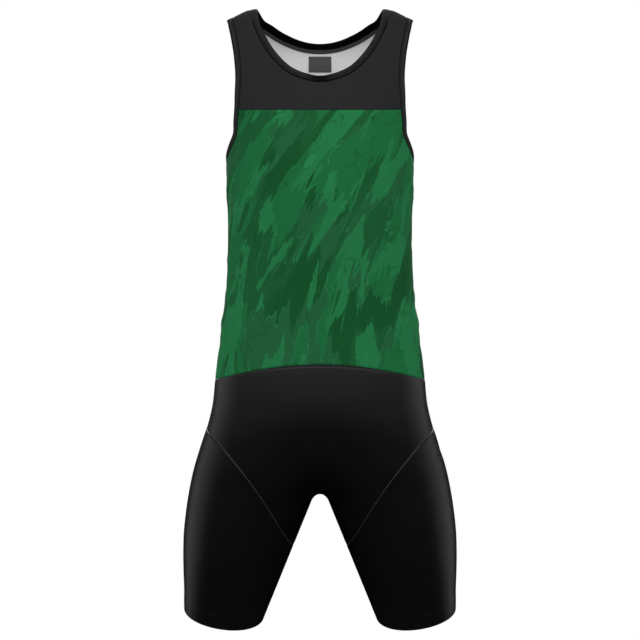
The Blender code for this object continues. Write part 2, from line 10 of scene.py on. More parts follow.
import bmesh
import bpy
import numpy as np
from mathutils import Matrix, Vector


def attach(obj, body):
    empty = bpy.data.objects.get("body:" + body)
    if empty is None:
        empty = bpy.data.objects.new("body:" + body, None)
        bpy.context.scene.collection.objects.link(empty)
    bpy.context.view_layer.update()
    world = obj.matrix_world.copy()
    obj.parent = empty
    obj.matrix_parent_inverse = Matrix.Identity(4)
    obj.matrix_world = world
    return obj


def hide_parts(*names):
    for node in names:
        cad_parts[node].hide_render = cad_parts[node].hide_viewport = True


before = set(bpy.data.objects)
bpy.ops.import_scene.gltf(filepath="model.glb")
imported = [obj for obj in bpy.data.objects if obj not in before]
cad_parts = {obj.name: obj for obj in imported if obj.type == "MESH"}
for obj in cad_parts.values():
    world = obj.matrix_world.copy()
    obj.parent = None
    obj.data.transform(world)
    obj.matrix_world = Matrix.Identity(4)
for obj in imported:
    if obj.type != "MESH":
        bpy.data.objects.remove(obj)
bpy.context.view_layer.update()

# Front and back of the top: two panels of polyester knit, printed in broad torn brush strokes of six close
# greens on a light ground that shows inside. They are sewn to each other at the sides, to the yokes above
# and to the shorts below, and each edge dips a little into its seam.
MM = 0.001
FRONT, BACK = 1, -1

# Their form is the wearer's, one smooth surface that the other pieces are laid on too. Share goes round
# a level section, 0 on the centre line or inside leg, 1 at the side, 2 at the back. Root is the square root
# of the depth, positive on the front and negative on the back. Each row of the table has a depth, the half
# width at the side, reach of front and back, the widest line's place, the leg's centre and the squareness.
SECTIONS = np.array((
    (0, 176.0, 74.0, 74.0, 0.0, 0.0, 2.25),
    (60, 170.0, 79.0, 85.0, 0.0, 0.0, 2.25),
    (110, 158.0, 88.0, 98.0, 0.0, 0.0, 2.25),
    (150, 144.5, 97.0, 105.0, 0.0, 0.0, 2.25),
    (185, 136.8, 104.0, 108.0, 0.0, 0.0, 2.25),
    (212, 135.4, 107.5, 108.0, 0.0, 0.0, 2.25),
    (234, 135.8, 109.0, 106.0, 0.0, 0.0, 2.25),
    (281, 133.8, 108.5, 98.0, 0.0, 0.0, 2.25),
    (340, 133.3, 104.0, 88.5, 0.0, 0.0, 2.20),
    (397, 135.5, 100.5, 84.5, 0.0, 0.0, 2.20),
    (431, 138.9, 99.5, 86.0, 0.0, 0.0, 2.20),
    (466, 144.0, 100.0, 92.0, 0.0, 0.0, 2.20),
    (501, 148.0, 102.0, 100.5, 0.0, 0.0, 2.20),
    (536, 151.9, 104.5, 109.0, 0.0, 0.0, 2.20),
    (571, 155.6, 105.5, 116.0, 1.0, 6.0, 2.20),
    (594, 160.8, 105.0, 119.5, 2.0, 18.0, 2.20),
    (617, 168.4, 103.0, 121.0, 3.5, 33.0, 2.20),
    (640, 175.9, 100.0, 120.0, 5.0, 49.0, 2.15),
    (663, 182.8, 96.5, 116.0, 6.5, 66.0, 2.15),
    (687, 188.3, 92.0, 109.0, 8.0, 83.0, 2.10),
    (710, 192.4, 88.5, 103.0, 8.5, 97.0, 2.10),
    (733, 195.5, 86.0, 97.0, 8.0, 108.0, 2.05),
    (756, 197.7, 83.5, 91.5, 7.0, 114.5, 2.05),
    (779, 198.4, 81.0, 87.0, 6.0, 119.5, 2.05),
    (814, 197.9, 74.0, 77.5, 4.0, 126.5, 2.05),
    (837, 197.0, 68.5, 71.0, 3.0, 131.0, 2.05),
    (861, 196.9, 63.0, 65.0, 2.0, 135.0, 2.05),
    (884, 195.9, 58.5, 60.0, 1.5, 138.3, 2.05),
    (905, 194.5, 56.0, 57.0, 1.0, 140.5, 2.05),
))
SHOULDER_ROUND, SHOULDER_SLOPE, SLOPE_START, SLOPE_EASE, SLOPE_FADE = 60.0, 0.52, 104.0, 6.0, 150.0
FORK_EASE_START, FORK_START, FORK_SQUARE, CROTCH = 560.0, 625.0, 2.2, 701.3
GAP_HALF_WIDTH, GAP_ROUND, GAP_SPREAD, GAP_EASE = 8.0, 10.0, 0.41, 10.0
CENTRE_EASE, CENTRE_EASE_LENGTH = 24.0, 70.0
SHARE_STEP, ROOT_STEP, PATH_STEP = 0.002, 0.02, 0.004
PATH_PLACES, SIDE_MOVES, CORNER_PLACES, NEAR_SHOULDER = 240, 4, 200, 0.01
RIDGE_NEAR = CENTRE_NEAR = 0.001

# Soft folds and creases: share and depth of the middle, half length, half width, the run's angle from level
# in degrees, height, and the side that has it (1 left, -1 right, 0 both)
CREASES = (
    (0.96, 452.0, 60.0, 9.0, 12.0, 1.3, 0),
    (0.90, 486.0, 70.0, 10.0, -10.0, -1.2, 0),
    (0.80, 250.0, 55.0, 10.0, 40.0, 1.2, 0),
    (1.30, 405.0, 80.0, 12.0, -6.0, 1.4, 0),
    (1.45, 432.0, 75.0, 12.0, 8.0, -1.3, 0),
    (0.35, 655.0, 60.0, 9.0, 38.0, -0.9, 0),
    (1.55, 712.0, 60.0, 10.0, -30.0, -1.4, 0),
    (0.90, 232.0, 38.0, 5.0, 46.0, -0.9, 0),
    (0.95, 268.0, 46.0, 6.0, 30.0, 0.8, 0),
    (1.08, 246.0, 44.0, 6.0, -38.0, -0.9, 0),
    (1.16, 224.0, 40.0, 5.5, -52.0, 0.9, 0),
    (0.98, 340.0, 40.0, 6.0, 6.0, -0.7, 1),
    (0.97, 362.0, 46.0, 6.5, -8.0, 0.8, -1),
    (0.94, 402.0, 48.0, 6.0, 14.0, -0.8, 0),
    (1.02, 428.0, 44.0, 6.0, -4.0, -0.9, 1),
    (1.22, 452.0, 60.0, 7.0, -14.0, -1.1, 0),
    (1.62, 386.0, 62.0, 8.0, 4.0, -1.2, 1),
    (1.70, 414.0, 66.0, 8.0, -5.0, 1.2, -1),
    (1.80, 446.0, 56.0, 7.0, 7.0, 1.0, 1),
    (1.86, 470.0, 52.0, 7.0, -6.0, -1.0, -1),
    (1.62, 262.0, 60.0, 9.0, -58.0, 1.0, 0),
    (1.50, 300.0, 66.0, 9.0, -48.0, -0.9, 1),
    (0.18, 676.0, 40.0, 6.0, 46.0, -0.5, 0),
    (0.30, 694.0, 46.0, 7.0, 30.0, 0.4, 0),
    (0.16, 640.0, 44.0, 7.0, 58.0, 0.4, 0),
    (1.72, 664.0, 60.0, 8.0, -44.0, 1.1, 0),
    (1.80, 700.0, 50.0, 6.0, -28.0, -1.1, 0),
    (1.66, 736.0, 50.0, 7.0, -14.0, 1.0, 0),
    (0.92, 640.0, 44.0, 8.0, -16.0, -0.7, 1),
    (0.40, 800.0, 44.0, 8.0, 10.0, -0.6, -1),
    (1.50, 806.0, 50.0, 8.0, -8.0, 0.9, 0),
    (1.40, 836.0, 48.0, 7.0, 6.0, -0.8, 1),
)


def through(knots, values, at):
    """A smooth curve through the values at the knots, read at the given places."""
    slopes = np.gradient(values, knots)
    at = np.clip(at, knots[0], knots[-1])
    i = np.clip(np.searchsorted(knots, at) - 1, 0, len(knots) - 2)
    step = knots[i + 1] - knots[i]
    t = (at - knots[i]) / step
    return (
        values[i] * (1 + 2 * t) * (1 - t) ** 2
        + values[i + 1] * t**2 * (3 - 2 * t)
        + step * t * (1 - t) * (slopes[i] * (1 - t) - slopes[i + 1] * t)
    )


def section(place, down):
    return through(SECTIONS[:, 0], SECTIONS[:, place], down)


def eased(value):
    value = np.clip(value, 0, 1)
    return value * value * (3 - 2 * value)


def rounded(distance, radius):
    """A quarter round: 0 at an edge, 1 from the radius on."""
    return np.sqrt(np.maximum(1 - (1 - np.minimum(distance / radius, 1)) ** 2, 0))


def inside_leg(down):
    """Distance from the centre line to the inside of the leg."""
    below = np.maximum(down - CROTCH, 0)
    return GAP_HALF_WIDTH * rounded(below, GAP_ROUND) + GAP_SPREAD * below


def shoulder_drop(out, down):
    past = out - SLOPE_START
    slope = SHOULDER_SLOPE * (np.sqrt(past**2 + SLOPE_EASE**2) + past) / 2
    return slope * (1 - eased(down / SLOPE_FADE))


def outward_reach(share, down):
    side, inner = section(1, down), inside_leg(down)
    as_leg = eased((down - FORK_EASE_START) / (CROTCH - FORK_EASE_START))
    on_torso = np.sin(math.pi / 2 * share)
    on_leg = (1 - np.cos(math.pi * share)) / 2
    return inner + (side - inner) * (on_torso + (on_leg - on_torso) * as_leg)


def depth_reach(out, down, face):
    """Distance of the cloth in front of or behind the widest line."""
    side, front, back, middle, leg, square = (section(place, down) for place in range(1, 7))
    reach = np.where(face > 0, front + middle, back - middle) * rounded(down, SHOULDER_ROUND)
    to_crotch = np.clip((down - FORK_START) / (CROTCH - FORK_START), 0, 1)
    centre_reach = (1 - to_crotch**FORK_SQUARE) ** (1 / FORK_SQUARE)
    above = np.clip((CROTCH - down) / CENTRE_EASE_LENGTH, 0, 1)
    ease = GAP_EASE + (CENTRE_EASE - GAP_EASE) * above
    inner, rounded_out = np.hypot(inside_leg(down), ease), np.hypot(out, ease)
    leg_width = np.maximum(np.hypot(leg, ease) - inner, 1e-6)
    towards_centre = np.clip(1 - (rounded_out - inner) / leg_width, 0, 1)
    towards_side = np.clip((out - leg) / (side - leg), 0, 1)
    lost = (1 - centre_reach**square) * towards_centre**square + towards_side**square
    return middle, reach * np.maximum(1 - lost, 0) ** (1 / square)


def form(share, root):
    """Points of the garment's outer surface."""
    share, root = np.broadcast_arrays(np.asarray(share, float), np.asarray(root, float))
    past_side = np.abs(share) > 1
    share = np.where(past_side, np.sign(share) * (2 - np.abs(share)), share)
    root = np.where(past_side, -root, root)
    past_centre = share < 0
    on_leg = past_centre & (root**2 > CROTCH)
    root = np.where(on_leg, -root, root)
    mirrored = np.where(past_centre & ~on_leg, -1, 1)
    down, face = root**2, np.where(root >= 0, FRONT, BACK)
    out = outward_reach(np.abs(share), down)
    middle, reach = depth_reach(out, down, face)
    return np.stack([out * mirrored, middle - face * reach, -down - shoulder_drop(out, down)], axis=1)


def surface(share, root):
    """Points of the form with their outward directions."""
    share, root = np.broadcast_arrays(np.asarray(share, float), np.asarray(root, float))
    across = form(share + SHARE_STEP, root) - form(share - SHARE_STEP, root)
    along = form(share, root + ROOT_STEP) - form(share, root - ROOT_STEP)
    outward = np.cross(along, across)
    points = form(share, root)
    on_centre = np.abs(points[:, 0]) < CENTRE_NEAR
    points[on_centre, 0] = outward[on_centre, 0] = 0
    return points, outward / np.linalg.norm(outward, axis=1, keepdims=True)


def crease_height(share, root, hand):
    """How far the folds lift the cloth, on the side of the wearer that hand gives."""
    down = root**2
    side = np.where(share < 0, -hand, hand)
    round_share = np.where(root < 0, 2 - np.abs(share), np.abs(share))
    half_round = math.pi / 2 * (section(1, down) + section(2, down)) / 2
    height = np.zeros_like(down)
    for middle, depth, half_length, half_width, angle, lift, owner in CREASES:
        right, below, turn = (round_share - middle) * half_round, down - depth, math.radians(angle)
        along = right * math.cos(turn) + below * math.sin(turn)
        across = below * math.cos(turn) - right * math.sin(turn)
        here = lift * np.exp(-((along / half_length) ** 2) - (across / half_width) ** 2)
        height += np.where((owner == 0) | (side == owner), here, 0)
    return height


def place_on_form(out, down, face):
    """Share and root of a point seen at this distance out and this depth, on the given face."""
    level = down
    for _ in range(8):
        level = np.maximum(down - shoulder_drop(out, level), 0)
    shares = np.linspace(0, 1, 1001)
    share = [np.interp(o, outward_reach(shares, d), shares) for o, d in zip(out, level)]
    return np.array(share), face * np.sqrt(level)


def as_object(name, made):
    mesh = bpy.data.meshes.new(name)
    made.to_mesh(mesh)
    made.free()
    piece = bpy.data.objects.new(name, mesh)
    bpy.context.scene.collection.objects.link(piece)
    return piece


def add_materials(piece, *materials):
    for made in materials:
        piece.data.materials.append(made)


def cloth(name, columns, rows, lay, lift, mirror=False, ring=False, hand=1, across_at=None, centred=False,
          strip=False):
    """One piece of cloth as a thin closed wall, laid on the form, with a UV map in metres along the cloth.

    lay turns a board's places along and across (0 to 1) into share and root, and lift says how far off the
    form its two faces lie at each place, from the distances in millimetres along and across the cloth.
    """
    board = bmesh.new()
    bmesh.ops.create_grid(board, x_segments=columns, y_segments=rows, size=0.5)
    bmesh.ops.translate(board, verts=board.verts, vec=(0.5, 0.5, 0))
    doubled = bmesh.ops.extrude_face_region(board, geom=board.faces[:], use_keep_orig=True)
    inner = [item for item in doubled["geom"] if isinstance(item, bmesh.types.BMVert)]
    bmesh.ops.translate(board, verts=inner, vec=(0, 0, 1))
    bmesh.ops.recalc_face_normals(board, faces=board.faces[:])
    for face in board.faces:
        face.material_index = 1 if all(v.co.z > 0.5 for v in face.verts) else 0
        face.smooth = True
    if ring:
        ends = [
            face
            for face in board.faces
            if all(v.co.x < 1e-6 for v in face.verts) or all(v.co.x > 1 - 1e-6 for v in face.verts)
        ]
        bmesh.ops.delete(board, geom=ends, context="FACES")
    board.verts.index_update()

    flat = np.array([vertex.co for vertex in board.verts])
    i, j = np.rint(flat[:, 0] * columns).astype(int), np.rint(flat[:, 1] * rows).astype(int)
    along_at = np.linspace(0, 1, columns + 1)
    across_at = np.linspace(0, 1, rows + 1) if across_at is None else across_at
    grid_along, grid_across = (a.ravel() for a in np.meshgrid(along_at, across_at, indexing="ij"))
    share, root = lay(grid_along, grid_across)
    points, outward = surface(share, root)
    grid = points.reshape(columns + 1, rows + 1, 3)
    right = np.zeros((columns + 1, rows + 1))
    below = np.zeros((columns + 1, rows + 1))
    right[1:] = np.cumsum(np.linalg.norm(np.diff(grid, axis=0), axis=2), axis=0)
    below[:, 1:] = np.cumsum(np.linalg.norm(np.diff(grid, axis=1), axis=2), axis=1)
    outer, under = lift(below, below[:, -1:] - below, right, right[-1:] - right)
    raised = crease_height(share, root, hand).reshape(right.shape)
    outer, under = (outer + raised).ravel(), (under + raised).ravel()
    at = i * (rows + 1) + j
    away = np.where(flat[:, 2] < 0.5, outer[at], under[at])
    placed = (points[at] + outward[at] * away[:, None]) * MM
    placed[:, 0] *= hand
    uv = board.loops.layers.uv.new("cloth")
    if centred:
        right, below = right - right[columns // 2], -grid[:, :, 2]
    if strip:
        below = np.tile(across_at * BINDING_WIDTH, (columns + 1, 1))
    right, below = right.ravel()[at] * MM, below.ravel()[at] * MM
    for face in board.faces:
        for loop in face.loops:
            place = loop.vert.index
            loop[uv].uv = (right[place], -below[place])
    for vertex, point in zip(board.verts, placed):
        vertex.co = point
    if board.calc_volume(signed=True) < 0:
        bmesh.ops.reverse_faces(board, faces=board.faces[:])
    if ring:
        bmesh.ops.remove_doubles(board, verts=board.verts[:], dist=1e-6)
    if mirror:
        cut = [face for face in board.faces if all(abs(v.co.x) < 1e-7 for v in face.verts)]
        bmesh.ops.delete(board, geom=cut, context="FACES")
    piece = as_object(name, board)
    if mirror:
        modifier = piece.modifiers.new("Other half", "MIRROR")
        modifier.merge_threshold = 1e-6
    return piece


CLOTH_THICKNESS = 1.0
SEAM_DIP = 0.42
SEAM_DIP_WIDTH = 1.9
BINDING_WIDTH = 9.5
YOKE_CENTRE, YOKE_RISE = 158.0, 14.0
WAIST_CENTRE, WAIST_DROP = 510.6, 24.0

# The armhole's edge, from the shoulder down the front and up the back: distance out, depth and face
ARMHOLE = (
    (135.2, 16.4, FRONT),
    (131.0, 30.0, FRONT),
    (126.4, 50.0, FRONT),
    (122.0, 76.0, FRONT),
    (119.7, 108.0, FRONT),
    (120.8, 140.0, FRONT),
    (122.6, 168.0, FRONT),
    (125.4, 190.0, FRONT),
    (135.4, 212.0, FRONT),
    (125.0, 190.0, BACK),
    (121.6, 168.0, BACK),
    (119.2, 140.0, BACK),
    (118.3, 108.0, BACK),
    (121.2, 76.0, BACK),
    (126.0, 50.0, BACK),
    (130.8, 30.0, BACK),
    (135.2, 16.4, BACK),
)
GREENS = (
    (0.0078, 0.0810, 0.0235),
    (0.0110, 0.1000, 0.0320),
    (0.0162, 0.1130, 0.0410),
    (0.0124, 0.1420, 0.0450),
    (0.0172, 0.1760, 0.0590),
    (0.0210, 0.2150, 0.0740),
)
PRINT_GROUND = (0.83, 0.83, 0.84)
WAIST_LEVEL = 0.54
STROKE_LEAN = 0.95

# Layers of strokes: noise cells a metre across and along, depth in the noise, where a stroke begins, how
# softly, how much it covers, and its green
STROKE_LAYERS = (
    (12, 6.0, 2.0, 0.43, 0.05, 1.0, 1),
    (18, 7.0, 83.0, 0.55, 0.01, 1.0, 2),
    (20, 6.0, 31.0, 0.545, 0.006, 1.0, 3),
    (24, 7.5, 47.0, 0.565, 0.006, 1.0, 4),
    (34, 9.0, 63.0, 0.66, 0.02, 0.8, 0),
)

# How strokes wander, how ragged their edges and ends are: cells across and along, detail, depth, reach in m
STROKE_WOBBLES = ((13, 8, 1, 7, 0.06), (110, 24, 3, 4, 0.012), (80, 7, 2, 9, 0.13))
# Height above the waist where the painted light in the print changes over, and the roughness of the stroke
# noise
PAINTED_SIDE_LIGHT_LEVEL, STROKE_ROUGHNESS = 0.30, 0.6

# Where rims are worn, how scratches run, where they lie and where cracks show: cells across and along,
# detail, depth and least value
WORN_RIMS = (16, 12, 1, 27, 0.50)
SCRATCHES, SCRATCHED = (300, 12, 2, 15, 0.66), (24, 11, 1, 19, 0.55)
CRACKED = (20, 16, 1, 33, 0.58)
RIM_WIDTH, RIM_COVER, SCRATCH_COVER = 0.0050, 0.75, 0.6
CRACK_SCALES, CRACK_WIDTH, CRACK_COVER = (90, 42), 0.035, 0.55
COURSES_A_WALE, LOOP_HEIGHT, LOOP_SIDE, MOTTLE_CELLS, KNIT_RELIEF = 1.25, 1.2, 0.8, 420, 0.00025
PANEL_COLUMNS, PANEL_ROWS, ARMHOLE_ROWS = 144, 130, 32


def smooth_path(share, root):
    """A smooth path through the given places: how far along each point is, 0 to 1, its share and root."""
    knots = np.arange(len(share), dtype=float)
    at = np.linspace(0, len(share) - 1, PATH_PLACES)
    share, root = through(knots, share, at), through(knots, root, at)
    steps = np.linalg.norm(np.diff(form(share, root), axis=0), axis=1)
    length = np.concatenate([[0], np.cumsum(steps)])
    return length / length[-1], share, root


def along_path(path, at, width):
    """Places along a path, moved sideways over the form by a width, away from the opening."""
    knots, *places = path
    ahead, (share, root), behind = (
        [np.interp(at + step, knots, place) for place in places] for step in (PATH_STEP, 0, -PATH_STEP)
    )
    run = form(*ahead) - form(*behind)
    for _ in range(SIDE_MOVES):
        _, outward = surface(share, root)
        sideways = np.cross(run, outward)
        sideways /= np.linalg.norm(sideways, axis=1, keepdims=True)
        by_share = (form(share + SHARE_STEP, root) - form(share - SHARE_STEP, root)) / (2 * SHARE_STEP)
        by_root = (form(share, root + ROOT_STEP) - form(share, root - ROOT_STEP)) / (2 * ROOT_STEP)
        a, b = (by_share * by_share).sum(axis=1), (by_share * by_root).sum(axis=1)
        c = (by_root * by_root).sum(axis=1)
        p = (sideways * by_share).sum(axis=1) * width / SIDE_MOVES
        q = (sideways * by_root).sum(axis=1) * width / SIDE_MOVES
        on_ridge = np.abs(root) < RIDGE_NEAR
        along_ridge = np.sign(p) * np.abs(width) / SIDE_MOVES / np.sqrt(a)
        share = share + np.where(on_ridge, along_ridge, (p * c - q * b) / (a * c - b * b))
        root = np.where(on_ridge, 0, root + (q * a - p * b) / (a * c - b * b))
    return share, root


def armhole_path():
    """The armhole's edge, down the front, under the arm and up the back."""
    out, down, face = np.array(ARMHOLE).T
    share, root = place_on_form(out, down, face)
    under = int(np.argmax(down))
    share[under] = 1
    share[under + 1 :] = 2 - share[under + 1 :]
    root = np.abs(root)
    root[[0, -1]] = 0
    return smooth_path(share, root)


def yoke_seam(share):
    return YOKE_CENTRE - YOKE_RISE * share**2


def waist_seam(share):
    return WAIST_CENTRE + WAIST_DROP * np.sin(math.pi / 2 * share) ** 2


def yoke_corner(start, end):
    """The place along the armhole where the yoke's lower seam meets its binding."""
    at = np.linspace(start, end, CORNER_PLACES)
    share, root = along_path(armhole, at, BINDING_WIDTH)
    share = np.where(share > 1, 2 - share, share)
    return float(np.interp(0, root**2 - yoke_seam(share), at))


def dip(*distances):
    """How far the cloth sinks beside the seams that lie these distances away."""
    nearest = np.minimum.reduce([np.broadcast_to(d, distances[0].shape) for d in distances])
    return SEAM_DIP * np.exp(-((nearest / SEAM_DIP_WIDTH) ** 2))


def sewn_all_round(top, bottom, left, right):
    sunk = dip(top, bottom, left, right)
    return -sunk, -sunk - CLOTH_THICKNESS


def node(tree, kind, **settings):
    made = tree.nodes.new(kind)
    for key, value in settings.items():
        setattr(made, key, value)
    return made


def arithmetic(tree):
    """A maker of math nodes in this tree, from sockets and plain values."""

    def calc(operation, first, second=None):
        made = node(tree, "ShaderNodeMath", operation=operation)
        for socket, value in zip(made.inputs, (first, second)):
            if isinstance(value, (int, float)):
                socket.default_value = value
            elif value is not None:
                tree.links.new(value, socket)
        return made.outputs[0]

    return calc


def mapped(tree, value, low, high, to_low=0.0, to_high=1.0, interpolation="LINEAR"):
    """A value carried from one range to another and held at its ends."""
    made = node(tree, "ShaderNodeMapRange", interpolation_type=interpolation)
    for name, limit in (("From Min", low), ("From Max", high), ("To Min", to_low), ("To Max", to_high)):
        made.inputs[name].default_value = limit
    tree.links.new(value, made.inputs["Value"])
    return made.outputs["Result"]


def set_colour(tree, colour, tone):
    """Gives the shader a colour, scaled by a tone."""
    shade = node(tree, "ShaderNodeVectorMath", name="Shade", operation="SCALE")
    shade.inputs[0].default_value = colour
    tree.links.new(tone, shade.inputs["Scale"])
    tree.links.new(shade.outputs["Vector"], tree.nodes["Principled BSDF"].inputs["Base Color"])


def shader_group(name, takes, gives):
    """An empty group for a finish, with its input and output sockets by name."""
    group = bpy.data.node_groups.new(name, "ShaderNodeTree")
    for way, sockets in (("INPUT", takes), ("OUTPUT", gives)):
        for socket, kind in sockets:
            group.interface.new_socket(socket, in_out=way, socket_type="NodeSocket" + kind)
    return group, node(group, "NodeGroupInput").outputs, node(group, "NodeGroupOutput").inputs


def knit_group():
    """Fine jersey: rows of small V-shaped loops. It puts out their height and a slight mottle."""
    group, start, end = shader_group(
        "Jersey loops",
        (("Vector", "Vector"), ("Wale width", "Float")),
        (("Height", "Float"), ("Mottle", "Float")),
    )
    split = node(group, "ShaderNodeSeparateXYZ")
    group.links.new(start["Vector"], split.inputs[0])
    calc = arithmetic(group)
    wale = calc("DIVIDE", split.outputs["X"], start["Wale width"])
    course = calc("DIVIDE", split.outputs["Y"], start["Wale width"])
    arm = calc("PINGPONG", wale, 0.5)
    slanted = calc("ADD", calc("MULTIPLY", course, COURSES_A_WALE), arm)
    loop = calc("PINGPONG", slanted, 0.5)
    height = calc("ADD", calc("MULTIPLY", loop, LOOP_HEIGHT), calc("MULTIPLY", arm, LOOP_SIDE))
    mottle = node(group, "ShaderNodeTexNoise")
    mottle.inputs["Scale"].default_value = MOTTLE_CELLS
    mottle.inputs["Detail"].default_value = 2
    group.links.new(start["Vector"], mottle.inputs["Vector"])
    group.links.new(height, end["Height"])
    group.links.new(mottle.outputs["Fac"], end["Mottle"])
    return group


def fabric(name, colour, roughness, specular, bump, wale_width=0.0009, mottled=0.12):
    """A knit or woven cloth. Its colour is a value, or is linked afterwards."""
    made = bpy.data.materials.new(name)
    made.use_nodes = True
    tree = made.node_tree
    shader = tree.nodes["Principled BSDF"]
    shader.inputs["Roughness"].default_value = roughness
    shader.inputs["Specular IOR Level"].default_value = specular
    where = node(tree, "ShaderNodeUVMap", uv_map="cloth")
    loops = node(tree, "ShaderNodeGroup", node_tree=jersey)
    loops.inputs["Wale width"].default_value = wale_width
    tree.links.new(where.outputs["UV"], loops.inputs["Vector"])
    relief = node(tree, "ShaderNodeBump")
    relief.inputs["Strength"].default_value = bump
    relief.inputs["Distance"].default_value = KNIT_RELIEF
    tree.links.new(loops.outputs["Height"], relief.inputs["Height"])
    tree.links.new(relief.outputs["Normal"], shader.inputs["Normal"])
    set_colour(tree, colour, mapped(tree, loops.outputs["Mottle"], 0, 1, 1 - mottled, 1 + mottled))
    return made


def stroke_group():
    """Broad torn strokes that lean up to the right at the top and stand upright towards the waist.

    It takes the place on the cloth and the layout, a number that gives each panel strokes of its own, and
    puts out the colour.
    """
    tree, start, end = shader_group(
        "Brush strokes", (("Vector", "Vector"), ("Layout", "Float")), (("Color", "Color"),)
    )
    calc = arithmetic(tree)

    def noise(across, along, across_scale, along_scale, detail, depth):
        place = node(tree, "ShaderNodeCombineXYZ")
        tree.links.new(calc("MULTIPLY", across, across_scale), place.inputs["X"])
        tree.links.new(calc("MULTIPLY", along, along_scale), place.inputs["Y"])
        tree.links.new(calc("ADD", start["Layout"], depth), place.inputs["Z"])
        field = node(tree, "ShaderNodeTexNoise")
        field.inputs["Scale"].default_value = 1
        field.inputs["Detail"].default_value = detail
        field.inputs["Roughness"].default_value = STROKE_ROUGHNESS
        tree.links.new(place.outputs["Vector"], field.inputs["Vector"])
        return field.outputs["Fac"]

    split = node(tree, "ShaderNodeSeparateXYZ")
    tree.links.new(start["Vector"], split.inputs[0])
    right, level = split.outputs["X"], split.outputs["Y"]
    above_waist = calc("ADD", level, WAIST_LEVEL)
    lean = calc("MULTIPLY", calc("POWER", above_waist, 2), STROKE_LEAN)
    across = calc("SUBTRACT", right, lean)
    wander, ragged, ends = (
        calc("MULTIPLY", calc("SUBTRACT", noise(across, level, *scales, depth), 0.5), reach)
        for *scales, depth, reach in STROKE_WOBBLES
    )
    moved, run = calc("ADD", calc("ADD", across, wander), ragged), calc("ADD", level, ends)
    # Painted light in the print: every layer of strokes covers more towards the lower sides and less
    # towards the top sides, so the green is lighter low at the sides
    painted_side_light = calc("MULTIPLY", calc("ABSOLUTE", right), calc("SUBTRACT", PAINTED_SIDE_LIGHT_LEVEL, above_waist))

    def painted(under, over, cover):
        layer = node(tree, "ShaderNodeMix", data_type="RGBA")
        tree.links.new(cover, layer.inputs[0])
        for socket, colour in ((layer.inputs[6], under), (layer.inputs[7], over)):
            if isinstance(colour, tuple):
                socket.default_value = (*colour, 1)
            else:
                tree.links.new(colour, socket)
        return layer.outputs[2]

    def where_more(*settings):
        *scales, least = settings
        return calc("GREATER_THAN", noise(across, level, *scales), least)

    colour, edges = GREENS[0], []
    for across_scale, along_scale, depth, least, soft, most, green in STROKE_LAYERS:
        field = calc("ADD", noise(moved, run, across_scale, along_scale, 1, depth), painted_side_light)
        cover = mapped(tree, field, least, least + soft)
        colour = painted(colour, GREENS[green], calc("MULTIPLY", cover, most))
        edges.append(calc("ABSOLUTE", calc("SUBTRACT", field, least)))
    near_edge = calc("MINIMUM", calc("MINIMUM", edges[1], edges[2]), edges[3])
    worn = where_more(*WORN_RIMS)
    rim = calc("MULTIPLY", calc("LESS_THAN", near_edge, RIM_WIDTH), calc("MULTIPLY", worn, RIM_COVER))
    scratched = calc("MULTIPLY", where_more(*SCRATCHES), where_more(*SCRATCHED))
    marks = calc("MAXIMUM", rim, calc("MULTIPLY", scratched, SCRATCH_COVER))
    colour = painted(colour, GREENS[5], marks)
    cracks = node(tree, "ShaderNodeTexVoronoi", feature="DISTANCE_TO_EDGE")
    cracks.inputs["Scale"].default_value = 1
    cracked = node(tree, "ShaderNodeCombineXYZ")
    tree.links.new(calc("MULTIPLY", moved, CRACK_SCALES[0]), cracked.inputs["X"])
    tree.links.new(calc("MULTIPLY", level, CRACK_SCALES[1]), cracked.inputs["Y"])
    tree.links.new(start["Layout"], cracked.inputs["Z"])
    tree.links.new(cracked.outputs["Vector"], cracks.inputs["Vector"])
    fine = calc("LESS_THAN", cracks.outputs["Distance"], CRACK_WIDTH)
    broken = calc("MULTIPLY", fine, where_more(*CRACKED))
    tree.links.new(painted(colour, GREENS[0], calc("MULTIPLY", broken, CRACK_COVER)), end["Color"])
    return tree


armhole = armhole_path()
under_arm = float(np.interp(1, armhole[1], armhole[0]))
front_corner = yoke_corner(NEAR_SHOULDER, under_arm)
back_corner = yoke_corner(1 - NEAR_SHOULDER, under_arm)
jersey, brush_strokes = knit_group(), stroke_group()
light_inside = fabric("light_print_ground", PRINT_GROUND, roughness=0.85, specular=0.15, bump=0.35)


def add_panel(name, face, layout):
    corner = front_corner if face == FRONT else back_corner
    rows, arm_rows = PANEL_ROWS, ARMHOLE_ROWS
    arm_at = corner + (under_arm - corner) * np.linspace(0, 1, arm_rows + 1)
    arm_share, arm_root = along_path(armhole, arm_at, BINDING_WIDTH)
    if face == BACK:
        arm_share = 2 - arm_share
    side_down = np.linspace(arm_root[-1] ** 2, waist_seam(1), rows - arm_rows + 1)
    rim_down = np.concatenate([arm_root**2, side_down[1:]])
    rim_down[0] = yoke_seam(arm_share[0])
    rim_share = np.minimum(np.concatenate([arm_share, np.ones(rows - arm_rows)]), 1)
    centre_down = np.linspace(YOKE_CENTRE, WAIST_CENTRE, rows + 1)

    def lay(along, across):
        at = np.linspace(0, 1, rows + 1)
        signed = 2 * along - 1
        part = np.abs(signed)
        middle, rim = np.interp(across, at, centre_down), np.interp(across, at, rim_down)
        bow = (1 - across) * part**2 + across * np.sin(math.pi / 2 * part) ** 2
        return signed * np.interp(across, at, rim_share), face * np.sqrt(middle + (rim - middle) * bow)

    piece = cloth(name + "_cloth", PANEL_COLUMNS, rows, lay, sewn_all_round, centred=True)
    outside = fabric(name + "_knit", GREENS[1], roughness=0.78, specular=0.04, bump=0.3, mottled=0.05)
    tree = outside.node_tree
    strokes = node(tree, "ShaderNodeGroup", node_tree=brush_strokes)
    strokes.inputs["Layout"].default_value = layout
    tree.links.new(tree.nodes["UV Map"].outputs["UV"], strokes.inputs["Vector"])
    tree.links.new(strokes.outputs["Color"], tree.nodes["Shade"].inputs[0])
    add_materials(piece, outside, light_inside)
    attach(piece, "root")
    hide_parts(name)


